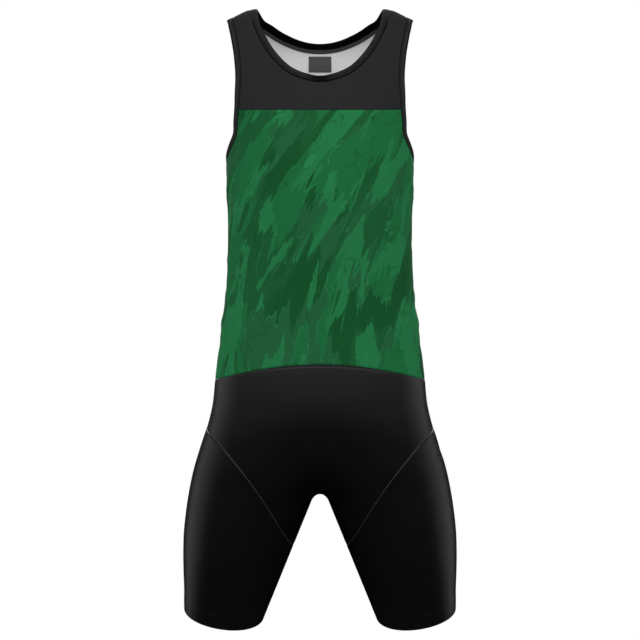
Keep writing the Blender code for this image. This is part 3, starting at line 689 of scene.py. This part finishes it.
add_panel("front_panel", FRONT, 3.1)
add_panel("back_panel", BACK, 23.7)


# Yokes: the upper front and back with the straps, cut from the same knit, printed plain black and left
# light inside. Front and back are sewn together along the tops of the shoulders.
NECKLINE = (
    (0.0, 108.5, FRONT),
    (28.6, 101.5, FRONT),
    (48.0, 89.0, FRONT),
    (65.3, 69.0, FRONT),
    (76.4, 50.0, FRONT),
    (84.5, 31.0, FRONT),
    (88.8, 12.0, FRONT),
    (90.0, 0.5, FRONT),
    (83.3, 6.6, BACK),
    (71.2, 13.0, BACK),
    (54.0, 22.0, BACK),
    (28.0, 31.5, BACK),
    (0.0, 35.2, BACK),
)
NECK_BROADER, BROADER_BY = 4.4, 0.15
YOKE_STEPS, YOKE_BOTTOM_STEPS, YOKE_ROWS, CORNER_TURN = 120, 54, 44, 1.4
BLACK_KNIT = (0.0225, 0.0225, 0.0228)


def neck_path():
    """The neckline from the centre front to the centre back, and the shoulder's place on it."""
    out, down, face = np.array(NECKLINE).T
    share, root = place_on_form(out, down, face)
    share = np.concatenate([[-share[1]], share, [-share[-2]]])
    root = np.concatenate([[root[1]], root, [root[-2]]])
    at, share, root = smooth_path(share, root)
    inside = share >= 0
    at = (at[inside] - at[inside][0]) / (at[inside][-1] - at[inside][0])
    share, root = share[inside], root[inside]
    share[[0, -1]] = 0
    return (at, share, root), float(np.interp(0, -root, at))


def neck_width(at):
    """Width of the neck binding along the neckline. It is broader behind the shoulders."""
    behind = np.clip((at - neck_shoulder) / (1 - neck_shoulder), 0, 1)
    return BINDING_WIDTH + NECK_BROADER * eased(behind / BROADER_BY) * (1 - behind)


def sewn_except_centre(top, bottom, left, right):
    """As sewn all round, but for the fold of the half pattern, which has no seam."""
    sunk = dip(top, bottom, right)
    return -sunk, -sunk - CLOTH_THICKNESS


def add_yoke(name, face):
    steps, bottom_steps, rows = YOKE_STEPS, YOKE_BOTTOM_STEPS, YOKE_ROWS
    neck_at = np.linspace(0, 1, steps + 1)
    neck_at = neck_at * neck_shoulder if face == FRONT else 1 - neck_at * (1 - neck_shoulder)
    neck_share, neck_root = along_path(neck, neck_at, neck_width(neck_at))
    neck_share[0] = 0
    corner, top = (front_corner, 0.0) if face == FRONT else (back_corner, 1.0)
    arm_at = corner + (top - corner) * np.linspace(0, 1, steps - bottom_steps + 1)
    arm_share, arm_root = along_path(armhole, arm_at, BINDING_WIDTH)
    if face == BACK:
        arm_share, arm_root = 2 - arm_share, -arm_root
    low_share = arm_share[0] * np.linspace(0, 1, bottom_steps + 1)
    rim_share = np.concatenate([low_share, arm_share[1:]])
    rim_root = np.concatenate([face * np.sqrt(yoke_seam(low_share)), arm_root[1:]])
    neck_root[-1] = rim_root[-1] = 0

    def lay(along, across):
        at = np.linspace(0, 1, steps + 1)
        turned = across ** np.interp(along, (0, bottom_steps / steps, 1), (1, CORNER_TURN, 1))
        share = np.interp(along, at, neck_share) * (1 - turned) + np.interp(along, at, rim_share) * turned
        root = np.interp(along, at, neck_root) * (1 - across) + np.interp(along, at, rim_root) * across
        return share, root

    piece = cloth(name + "_cloth", steps, rows, lay, sewn_except_centre, mirror=True)
    add_materials(piece, black_knit, light_inside)
    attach(piece, "root")
    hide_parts(name)


neck, neck_shoulder = neck_path()
black_knit = fabric("black_knit", BLACK_KNIT, roughness=0.8, specular=0.04, bump=0.35, mottled=0.06)
add_yoke("front_yoke", FRONT)
add_yoke("back_yoke", BACK)

# Shorts: front and seat of a heavier black lycra with a broad soft sheen, and a painted sheen in its colour
# just below the waist seam. Each runs from the arched waist seam down to the two diagonal seams and ends in
# a narrow tip on each inside leg.
DIAGONAL = (
    (38.0, 775.0, FRONT),
    (53.1, 748.0, FRONT),
    (73.0, 711.5, FRONT),
    (89.2, 686.4, FRONT),
    (113.3, 654.0, FRONT),
    (138.6, 626.7, FRONT),
    (162.0, 606.0, FRONT),
    (157.0, 602.0, BACK),
    (136.0, 624.0, BACK),
    (112.0, 655.0, BACK),
    (90.0, 687.0, BACK),
    (72.0, 714.0, BACK),
    (54.0, 748.0, BACK),
    (38.0, 775.0, BACK),
)
BLACK_LYCRA = (0.0036, 0.0036, 0.0037)
# The colour just below the waist seam is a painted sheen, lighter than the plain black, and the heights it
# fades over
PAINTED_SHEEN_LYCRA = (0.0130, 0.0130, 0.0133)
PAINTED_SHEEN_FADE = (-0.608, -0.525)
CROTCH_PLACES, SPAN_PLACES = 161, 8
SHORTS_COLUMNS, SHORTS_ROWS, LEG_COLUMNS, LEG_ROWS = 84, 120, 168, 84


def diagonal_path():
    """The diagonal seam round a leg, as it is seen from the front and from the back.

    Places lie closest where it passes the crotch's depth. Between the last one in front and the first one
    behind there are none, so that it runs smoothly round the side.
    """
    knots = np.array(DIAGONAL)
    last = len(knots) - 1
    past_crotch = [np.linspace(start, start + 1, CROTCH_PLACES) for start in (2, last - 3)]
    at = np.unique(np.concatenate([np.linspace(0, last, SPAN_PLACES * last + 1), *past_crotch]).round(6))
    at = at[np.abs(at - last / 2) >= 0.5]
    out, down = (through(np.arange(len(knots)), knots[:, place], at) for place in (0, 1))
    face = np.where(at < last / 2, FRONT, BACK)
    share, root = place_on_form(out, down, face)
    return np.where(root < 0, 2 - share, share), root**2


def diagonal_seam(share):
    """Depth of the diagonal seam at each share of the way round the leg, 0 and 2 at the inside."""
    return through(*diagonal, share)


def object_place(tree):
    """X, Y and Z in the piece's own frame, in metres."""
    place, split = node(tree, "ShaderNodeTexCoord"), node(tree, "ShaderNodeSeparateXYZ")
    tree.links.new(place.outputs["Object"], split.inputs[0])
    return split.outputs


def paint_waist_sheen(made):
    """Paints a sheen into the lycra's colour, lighter just below the waist seam and fading downwards."""
    tree = made.node_tree
    sheen_near_waist = mapped(tree, object_place(tree)["Z"], *PAINTED_SHEEN_FADE, interpolation="SMOOTHSTEP")
    mix = node(tree, "ShaderNodeMix", data_type="RGBA")
    mix.inputs[6].default_value = (*BLACK_LYCRA, 1)
    mix.inputs[7].default_value = (*PAINTED_SHEEN_LYCRA, 1)
    tree.links.new(sheen_near_waist, mix.inputs[0])
    tree.links.new(mix.outputs[2], tree.nodes["Shade"].inputs[0])


def add_shorts_panel(name, face):
    rows, crotch_row, grading, level_share = SHORTS_ROWS, 0.7, 2.2, 0.7
    bottom = DIAGONAL[0][1]

    def lay(along, across):
        round_share = along if face == FRONT else 2 - along
        high = waist_seam(along)
        low = np.where(along < 1e-6, bottom, diagonal_seam(round_share))
        crotch_part = np.clip((CROTCH - high) / (low - high), 0, 1)
        above = 1 - (1 - np.minimum(across / crotch_row, 1)) ** grading
        below = np.maximum((across - crotch_row) / (1 - crotch_row), 0) ** grading
        level = crotch_part * above + (1 - crotch_part) * below
        down = high + (low - high) * (across + (level - across) * (1 - eased(along / level_share)))
        down = np.where((along < 1e-6) & (np.abs(across - crotch_row) < 1e-6), CROTCH, down)
        return along, face * np.sqrt(down)

    piece = cloth(name + "_cloth", SHORTS_COLUMNS, rows, lay, sewn_except_centre, mirror=True)
    add_materials(piece, black_lycra, black_lycra)
    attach(piece, "root")
    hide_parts(name)


diagonal = diagonal_path()
black_lycra = fabric(
    "black_lycra", BLACK_LYCRA, roughness=0.36, specular=0.14, bump=0.10, wale_width=0.0006, mottled=0.08
)
paint_waist_sheen(black_lycra)
add_shorts_panel("shorts_front", FRONT)
add_shorts_panel("shorts_seat", BACK)

# Legs: a tube of the same lycra on each thigh, from the diagonal seam to the hem. The hem is turned in
# 20 mm and held by a twin-needle row of black thread. A flat cover seam of grey thread joins each leg to
# the shorts.
HEM, HEM_MIDDLE, HEM_TILT, HEM_LEAN = 875.0, 138.0, 0.2, 0.15
HEM_TURNED_IN, HEM_STEP, HEM_EDGE, HEM_LEAST = 20.0, 1.2, 0.9, 0.15
HEM_THICKER, HEM_PROUD, HEM_LINE, HEM_LINE_WIDTH = 0.5, 0.1, 0.07, 1.6
HEM_NEEDLE, HEM_PITCH, HEM_STITCH, HEM_THREAD, HEM_THREAD_LIFT = 1.6, 2.8, 2.2, 0.22, 0.02
COVER_PITCH, COVER_STITCH, COVER_THREAD = 2.0, 2.4, 0.34
THREAD_PLACES, THREAD_FLATNESS, THREAD_ROUGHNESS, THREAD_SPECULAR, RUN_STEP = 400, 0.7, 0.55, 0.3, 0.1
TWIST_CELLS, TWIST_TONES = 900, (0.8, 1.1)

# Rows of the board nearest the hem, in millimetres from it along a leg about 200 long, and where the even
# rows above them end
HEM_ROWS, LEG_LENGTH, EVEN_ROWS_END = (2.4, 1.2, 0.55, 0.18, 0.0), 200, 0.975
THREAD_BLACK = (0.0060, 0.0060, 0.0062)
THREAD_GREY = (0.080, 0.080, 0.081)


def hem(share):
    """Depth of the hem, whose plane is lower in front and towards the inside of the leg."""
    down = np.full_like(share, HEM)
    for _ in range(3):
        out, back, _ = form(share, np.sqrt(down)).T
        down = HEM - HEM_TILT * back - HEM_LEAN * (out - HEM_MIDDLE)
    return down


def hemmed(top, bottom, left, right):
    """Sunk at the seam, thicker where the hem is turned in, and rounded over at the edge."""
    turned = eased((HEM_TURNED_IN + HEM_STEP / 2 - bottom) / HEM_STEP)
    line = HEM_LINE * np.exp(-(((bottom - HEM_TURNED_IN) / HEM_LINE_WIDTH) ** 2))
    thick = CLOTH_THICKNESS + HEM_THICKER * turned
    half = thick / 2 * np.maximum(rounded(bottom, HEM_EDGE), HEM_LEAST)
    middle = HEM_PROUD * turned - dip(top) - line - thick / 2
    return middle + half, middle - half


def twist_group():
    """The twist of sewing thread, as light and dark turns. It puts out their tone."""
    group, start, end = shader_group("Thread twist", (("Vector", "Vector"),), (("Tone", "Float"),))
    twist = node(group, "ShaderNodeTexWave", bands_direction="DIAGONAL")
    twist.inputs["Scale"].default_value = TWIST_CELLS
    group.links.new(start["Vector"], twist.inputs["Vector"])
    group.links.new(mapped(group, twist.outputs["Fac"], 0, 1, *TWIST_TONES), end["Tone"])
    return group


def thread(name, colour):
    made = bpy.data.materials.new(name)
    made.use_nodes = True
    tree = made.node_tree
    shader = tree.nodes["Principled BSDF"]
    shader.inputs["Roughness"].default_value = THREAD_ROUGHNESS
    shader.inputs["Specular IOR Level"].default_value = THREAD_SPECULAR
    where, twist = node(tree, "ShaderNodeTexCoord"), node(tree, "ShaderNodeGroup", node_tree=thread_twist)
    tree.links.new(where.outputs["Object"], twist.inputs["Vector"])
    set_colour(tree, colour, twist.outputs["Tone"])
    return made


def spaced(share, root, hand, pitch, lift):
    """Points on the cloth at an even pitch along a line of places, with their outward directions."""
    points, outward = surface(share, root)
    points = points + outward * (crease_height(share, root, hand) + lift)[:, None]
    length = np.concatenate([[0], np.cumsum(np.linalg.norm(np.diff(points, axis=0), axis=1))])
    count = int(length[-1] / pitch)
    at = (np.arange(count) + 0.5) * length[-1] / count
    picked = [np.stack([np.interp(at + shift, length, values[:, k]) for k in range(3)], axis=1)
              for values in (points, outward) for shift in (-RUN_STEP, RUN_STEP)]
    middle = (picked[0] + picked[1]) / 2
    run = picked[1] - picked[0]
    away = picked[2] + picked[3]
    sign = np.array([hand, 1, 1])
    return middle * sign, run * sign, away * sign


def sew_stitches(name, lines, look, length, radius):
    """Rows of stitches in one piece: one small rounded bar, copied and laid along the run of each line."""
    middle, run, away = (np.concatenate(parts) for parts in zip(*lines))
    run = run / np.linalg.norm(run, axis=1, keepdims=True)
    across = np.cross(away, run)
    across /= np.linalg.norm(across, axis=1, keepdims=True)
    away = np.cross(run, across)
    made = bmesh.new()
    bmesh.ops.create_icosphere(made, subdivisions=1, radius=1)
    bar = np.array([vertex.co for vertex in made.verts])
    count = len(middle)
    while len(made.verts) < count * len(bar):
        bmesh.ops.duplicate(made, geom=made.verts[:] + made.edges[:] + made.faces[:])
    bmesh.ops.delete(made, geom=made.verts[count * len(bar) :], context="VERTS")
    laid = (
        middle[:, None]
        + bar[None, :, :1] * length / 2 * run[:, None]
        + bar[None, :, 1:2] * radius * across[:, None]
        + bar[None, :, 2:] * radius * THREAD_FLATNESS * away[:, None]
    ).reshape(-1, 3)
    for vertex, point in zip(made.verts, laid * MM):
        vertex.co = point
    bmesh.ops.recalc_face_normals(made, faces=made.faces[:])
    for face in made.faces:
        face.smooth = True
    piece = as_object(name, made)
    add_materials(piece, look)
    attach(piece, "root")
    return piece


def add_leg(name, hand):
    rows = LEG_ROWS
    edge_rows = 1 - np.array(HEM_ROWS) / LEG_LENGTH
    across_at = np.concatenate([np.linspace(0, EVEN_ROWS_END, rows + 1 - len(HEM_ROWS)), edge_rows])

    def lay(along, across):
        share = 2 * along
        high = diagonal_seam(share)
        return share, np.sqrt(high + (hem(share) - high) * across)

    piece = cloth(
        name + "_cloth", LEG_COLUMNS, rows, lay, hemmed, ring=True, hand=hand, across_at=across_at
    )
    add_materials(piece, black_lycra, black_lycra)
    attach(piece, "root")
    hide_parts(name)

    turn = np.linspace(0, 2, THREAD_PLACES)
    needles = [
        spaced(turn, np.sqrt(hem(turn) - HEM_TURNED_IN - side), hand, HEM_PITCH, HEM_THREAD_LIFT)
        for side in (HEM_NEEDLE, -HEM_NEEDLE)
    ]
    cover = [spaced(turn, np.sqrt(diagonal_seam(turn)), hand, COVER_PITCH, -SEAM_DIP)]
    hem_thread = sew_stitches(
        name + "_hem_stitches", needles, black_thread, HEM_STITCH, HEM_THREAD
    )
    seam_thread = sew_stitches(
        name + "_seam_stitches", cover, grey_thread, COVER_STITCH, COVER_THREAD
    )


thread_twist = twist_group()
black_thread = thread("black_thread", THREAD_BLACK)
grey_thread = thread("grey_thread", THREAD_GREY)
add_leg("leg_left", 1)
add_leg("leg_right", -1)

# Bindings: a folded strip of the black knit round the neck and each armhole, soft and a little raised, with
# a rounded free edge. It is sewn on through all layers with two rows of stitches.
BINDING_RAISED = 0.55
BINDING_UNDER = 2.0
NECK_BLACK = (0.0195, 0.0195, 0.0200)
ARMHOLE_BLACK = (0.0205, 0.0205, 0.0210)
# The bindings' inside is the same black knit, given a far darker colour as painted shade
SHADED_INSIDE_BLACK = (0.0014, 0.0014, 0.0015)
FOLD_ROUND, FOLD_LEAST, SEWN_ROUND, SEWN_SUNK = 1.3, 0.05, 0.8, 0.25
PUFF, PUFF_WIDTH = 0.25, 6.0
STITCH_ROWS = (6.1, 7.9)
STITCH_PULL, STITCH_PULL_WIDTH = 0.32, 0.55
BINDING_PITCH, BINDING_STITCH, BINDING_THREAD, BINDING_THREAD_SUNK = 3.0, 2.4, 0.24, 0.22

# Rows of the board across the strip, closest where the surface turns most
STRIP_ROWS = np.array((
    0, 0.012, 0.045, 0.10, 0.17, 0.27, 0.38, 0.48, 0.57, 0.615,
    0.645, 0.68, 0.73, 0.785, 0.83, 0.86, 0.90, 0.945, 0.98, 1.0,
))

# Place across the strip, from its free edge, and the painted tone there: low tones are painted shade at the
# fold, by the stitches and at the sewn edge, high ones painted highlight on the bands between
NECK_PAINTED_SHADE = (
    (0, 0.3), (0.10, 0.6), (0.16, 1.15), (0.46, 1.1), (0.54, 0.3),
    (0.62, 1), (0.80, 1), (0.86, 0.03), (1, 0.05),
)
ARMHOLE_PAINTED_SHADE = (
    (0, 0.1), (0.29, 0.15), (0.35, 1.35), (0.60, 1.2), (0.70, 1), (0.86, 0.95), (0.93, 0.5), (1, 0.5),
)
# Heights over which the neck binding's painted shade gives way to an even tone at the strap tops, and that
# tone
PAINTED_SHADE_FADE, PLAIN_TONE = (-0.034, -0.018), 1.1
# Distances from the centre over which painted shade darkens the neck binding, and its darkest tone
CENTRE_SHADE_FADE, CENTRE_SHADE_TONE = (0.004, 0.026), 0.18
NECK_FRONT_PLACES, NECK_BACK_PLACES = 130, 100


def folded_strip(top, bottom, left, right):
    """The strip's section: a round fold at the free edge, two lines drawn in by the stitches."""
    fold = np.maximum(rounded(top, FOLD_ROUND), FOLD_LEAST)
    drawn = sum(STITCH_PULL * np.exp(-(((top - row) / STITCH_PULL_WIDTH) ** 2)) for row in STITCH_ROWS)
    puff = PUFF * np.sin(np.pi * np.clip(top / PUFF_WIDTH, 0, 1))
    sunk = (1 - rounded(bottom, SEWN_ROUND)) * (BINDING_RAISED + SEWN_SUNK)
    middle, half = (BINDING_RAISED - BINDING_UNDER) / 2, (BINDING_RAISED + BINDING_UNDER) / 2
    return middle + (half + puff) * fold - drawn - sunk, middle - half * fold


def between(upper, lower):
    """Lays a strip between two lines of places."""
    at = np.linspace(0, 1, len(upper[0]))

    def lay(along, across):
        return tuple(
            np.interp(along, at, high) * (1 - across) + np.interp(along, at, low) * across
            for high, low in zip(upper, lower)
        )

    return lay


def scale_tone(tree, level):
    """Scales the tone of a cloth by one more value."""
    tone = tree.nodes["Shade"].inputs["Scale"]
    tree.links.new(arithmetic(tree)("MULTIPLY", tone.links[0].from_socket, level), tone)


def paint_edge_shade(made, steps, plain_at_shoulder=False):
    """Paints shade into a strip's colour where it folds over, where it is stitched and where it sinks into
    the panel, with painted highlight on the bands between. With plain_at_shoulder the painted shade gives
    way to an even, slightly lighter tone at the tops of the straps.
    """
    tree = made.node_tree
    ramp = node(tree, "ShaderNodeValToRGB")
    while len(ramp.color_ramp.elements) < len(steps):
        ramp.color_ramp.elements.new(0.5)
    for element, (place, level) in zip(ramp.color_ramp.elements, steps):
        element.position = place
        element.color = (level, level, level, 1)
    split = node(tree, "ShaderNodeSeparateXYZ")
    tree.links.new(tree.nodes["UV Map"].outputs["UV"], split.inputs[0])
    across = arithmetic(tree)("DIVIDE", split.outputs["Y"], -BINDING_WIDTH * MM)
    tree.links.new(across, ramp.inputs["Fac"])
    # The ramp gives painted shade and highlight across the strip
    lines = ramp.outputs["Color"]
    if plain_at_shoulder:
        plain = node(tree, "ShaderNodeMix", data_type="FLOAT")
        plain.inputs[3].default_value = PLAIN_TONE
        tree.links.new(mapped(tree, object_place(tree)["Z"], *PAINTED_SHADE_FADE), plain.inputs[0])
        tree.links.new(lines, plain.inputs[2])
        lines = plain.outputs[0]
    scale_tone(tree, lines)


def paint_centre_shade(made):
    """Paints shade into the neck binding's colour, darker towards the centre front and back."""
    tree = made.node_tree
    aside = arithmetic(tree)("ABSOLUTE", object_place(tree)["X"])
    scale_tone(tree, mapped(tree, aside, *CENTRE_SHADE_FADE, to_low=CENTRE_SHADE_TONE, interpolation="SMOOTHSTEP"))


def add_binding(name, path, stations, width, ring, hand, closed_at_centre, outside):
    free, sewn = along_path(path, stations, 0), along_path(path, stations, width)
    if closed_at_centre:
        for ends in (free[0], sewn[0]):
            ends[[0, -1]] = 0
    else:
        for edge in (free, sewn):
            edge[1][[0, -1]] = 0
            edge[0][-1] = 2 - edge[0][0]
    piece = cloth(
        name + "_cloth", len(stations) - 1, len(STRIP_ROWS) - 1, between(free, sewn), folded_strip,
        mirror=closed_at_centre, ring=ring, hand=hand, across_at=STRIP_ROWS, strip=True,
    )
    add_materials(piece, outside, binding_inside_painted_shade)
    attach(piece, "root")
    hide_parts(name)

    rows = []
    for row in STITCH_ROWS:
        share, root = along_path(path, np.linspace(0, 1, THREAD_PLACES), row)
        if closed_at_centre:
            share[[0, -1]] = 0
        for side in (1, -1) if closed_at_centre else (hand,):
            rows.append(spaced(share, root, side, BINDING_PITCH, BINDING_RAISED - BINDING_THREAD_SUNK))
    stitches = sew_stitches(
        name + "_stitches", rows, black_thread, BINDING_STITCH, BINDING_THREAD
    )


neck_black, armhole_black, binding_inside_painted_shade = (
    fabric(name, colour, roughness=0.75, specular=specular, bump=0.3, wale_width=0.0007, mottled=0.08)
    for name, colour, specular in (
        ("neck_binding_knit", NECK_BLACK, 0.05),
        ("armhole_binding_knit", ARMHOLE_BLACK, 0.05),
        ("binding_inside_painted_shade", SHADED_INSIDE_BLACK, 0.04),
    )
)
paint_edge_shade(neck_black, NECK_PAINTED_SHADE, plain_at_shoulder=True)
paint_centre_shade(neck_black)
paint_edge_shade(armhole_black, ARMHOLE_PAINTED_SHADE)
neck_stations = np.concatenate([
    np.linspace(0, neck_shoulder, NECK_FRONT_PLACES), np.linspace(neck_shoulder, 1, NECK_BACK_PLACES)[1:]
])
armhole_stations = np.linspace(0, 1, PATH_PLACES)
add_binding(
    "neck_binding", neck, neck_stations, neck_width(neck_stations), False, 1, True, neck_black,
)
for name, hand in (("armhole_binding_left", 1), ("armhole_binding_right", -1)):
    add_binding(
        name, armhole, armhole_stations, BINDING_WIDTH, True, hand, False, armhole_black,
    )

# Neck tape: a narrow woven tape sewn over the back neck seam inside, from shoulder to shoulder, which keeps
# the seam off the skin.
TAPE_WIDTH, TAPE_TUCKED, TAPE_REACH, TAPE_COLUMNS, TAPE_ROWS = 7.0, 0.4, 16 / 17, 96, 10
TAPE_CLEAR, TAPE_EDGE, TAPE_THICK, TAPE_ROUND = 0.15, 0.2, 0.45, 0.5
TAPE_GREY = (0.0620, 0.0560, 0.0560)


def tape_section(top, bottom, left, right):
    under = np.full_like(top, -CLOTH_THICKNESS - TAPE_CLEAR)
    return under, under - TAPE_EDGE - TAPE_THICK * rounded(np.minimum(top, bottom), TAPE_ROUND)


tape_stations = 1 - (1 - neck_shoulder) * np.linspace(0, TAPE_REACH, TAPE_COLUMNS + 1)
tape_edge = neck_width(tape_stations) - TAPE_TUCKED
tape_upper = along_path(neck, tape_stations, tape_edge)
tape_lower = along_path(neck, tape_stations, tape_edge + TAPE_WIDTH)
tape_upper[0][0] = tape_lower[0][0] = 0
woven_tape = fabric("woven_tape", TAPE_GREY, roughness=0.75, specular=0.15, bump=0.8, wale_width=0.0011)
neck_tape_cloth = cloth(
    "neck_tape_cloth", TAPE_COLUMNS, TAPE_ROWS, between(tape_upper, tape_lower), tape_section, mirror=True
)
add_materials(neck_tape_cloth, woven_tape, woven_tape)
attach(neck_tape_cloth, "root")
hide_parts("neck_tape")

# Neck label: a small plain woven label, sewn in under the tape at the centre back. It hangs free below, and
# its sides bow away from the yoke.
LABEL_WIDTH, LABEL_HEIGHT, LABEL_TOP, LABEL_TUCKED = 34.0, 21.0, 54.0, 1.5
LABEL_CLEAR, LABEL_EDGE, LABEL_ROUND, LABEL_THICK, LABEL_THINNER = 0.3, 0.15, 0.4, 0.3, 0.2
LABEL_CURL, LABEL_CURL_DOWN, LABEL_BOW, LABEL_BOW_DOWN = 0.5, 6.0, 0.35, 16.0
LABEL_COLUMNS, LABEL_ROWS = 26, 30
LABEL_GREY = (0.080, 0.080, 0.082)


def lay_label(along, across):
    down = LABEL_TOP - LABEL_TUCKED + across * (LABEL_HEIGHT + LABEL_TUCKED)
    return place_on_form(along * LABEL_WIDTH / 2, down, np.full_like(down, BACK))


def label_section(top, bottom, left, right):
    edge = rounded(np.minimum(bottom, right), LABEL_ROUND)
    curl = LABEL_CURL * (1 - np.exp(-top / LABEL_CURL_DOWN))
    bow = LABEL_BOW * (left / (LABEL_WIDTH / 2)) ** 2 * eased(top / LABEL_BOW_DOWN)
    outer = -CLOTH_THICKNESS - LABEL_CLEAR - curl - bow
    return outer - LABEL_EDGE * (1 - edge), outer - LABEL_THICK - LABEL_THINNER * edge


woven_label = fabric(
    "woven_label", LABEL_GREY, roughness=0.6, specular=0.3, bump=0.5, wale_width=0.0005, mottled=0.06
)
neck_label_cloth = cloth(
    "neck_label_cloth", LABEL_COLUMNS, LABEL_ROWS, lay_label, label_section, mirror=True
)
add_materials(neck_label_cloth, woven_label, woven_label)
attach(neck_label_cloth, "root")
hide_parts("neck_label")


# Studio: a plain room, white to the camera and dim to the cloth, over a pale floor. Soft boxes light front
# and back from above, a low one gives the sheen below the waist, and two at the sides draw bright edges.
DIM_ROOM = 0.06
FLOOR_RADIUS, FLOOR_LEVEL = 1.4, -1.3
CAMERA_AWAY, CAMERA_LEVEL, SEEN_WIDTH, SENSOR_WIDTH = 2.2, -0.449, 0.928, 36
room = bpy.data.worlds.new("White room")
room.use_nodes = True
bpy.context.scene.world = room
seen = node(room.node_tree, "ShaderNodeLightPath")
level = node(room.node_tree, "ShaderNodeMath", operation="MULTIPLY_ADD")
level.inputs[1].default_value = DIM_ROOM
room.node_tree.links.new(seen.outputs["Is Diffuse Ray"], level.inputs[0])
room.node_tree.links.new(seen.outputs["Is Camera Ray"], level.inputs[2])
room.node_tree.links.new(level.outputs[0], room.node_tree.nodes["Background"].inputs["Strength"])
room.node_tree.nodes["Background"].inputs["Color"].default_value = (1, 1, 1, 1)


def soft_box(name, place, aim, width, height, power):
    lamp = bpy.data.lights.new(name, "AREA")
    lamp.shape = "RECTANGLE"
    lamp.size, lamp.size_y, lamp.energy = width, height, power
    box = bpy.data.objects.new(name, lamp)
    box.location = place
    box.rotation_euler = (Vector(aim) - Vector(place)).to_track_quat("-Z", "Y").to_euler()
    box.visible_camera = False
    bpy.context.scene.collection.objects.link(box)


middle = (0, 0, -0.45)
soft_box("Upper front soft box", (0, -2.35, 1.15), middle, 2.6, 1.7, 38)
soft_box("Low front soft box", (0, -2.6, -0.22), (0, 0, -0.22), 3.0, 1.04, 2.2)
soft_box("Back soft box", (0, 2.7, 0.9), middle, 3.4, 2.6, 78)
for side, name in ((1, "Left"), (-1, "Right")):
    soft_box(name + " upper soft box", (side * 1.9, -1.6, 1.15), middle, 1.8, 1.7, 28)
    soft_box(name + " rear soft box", (side * 1.77, 0.54, -0.45), middle, 1.65, 1.8, 8.6)

floor = bmesh.new()
bmesh.ops.create_circle(floor, cap_ends=True, segments=96, radius=FLOOR_RADIUS)
bmesh.ops.translate(floor, verts=floor.verts, vec=(0, 0, FLOOR_LEVEL))
studio_floor = as_object("studio_floor", floor)
pale = bpy.data.materials.new("Pale floor")
pale.use_nodes = True
pale_shader = pale.node_tree.nodes["Principled BSDF"]
pale_shader.inputs["Base Color"].default_value = (0.8, 0.8, 0.8, 1)
pale_shader.inputs["Roughness"].default_value = 0.7
add_materials(studio_floor, pale)
studio_floor.visible_glossy = False

lens = bpy.data.cameras.new("Camera")
lens.sensor_width, lens.lens = SENSOR_WIDTH, SENSOR_WIDTH * CAMERA_AWAY / SEEN_WIDTH
camera = bpy.data.objects.new("Camera", lens)
camera.location = (0, -CAMERA_AWAY, CAMERA_LEVEL)
camera.rotation_euler = (math.pi / 2, 0, 0)
bpy.context.scene.collection.objects.link(camera)
bpy.context.scene.camera = camera
bpy.context.scene.view_settings.view_transform = "Standard"
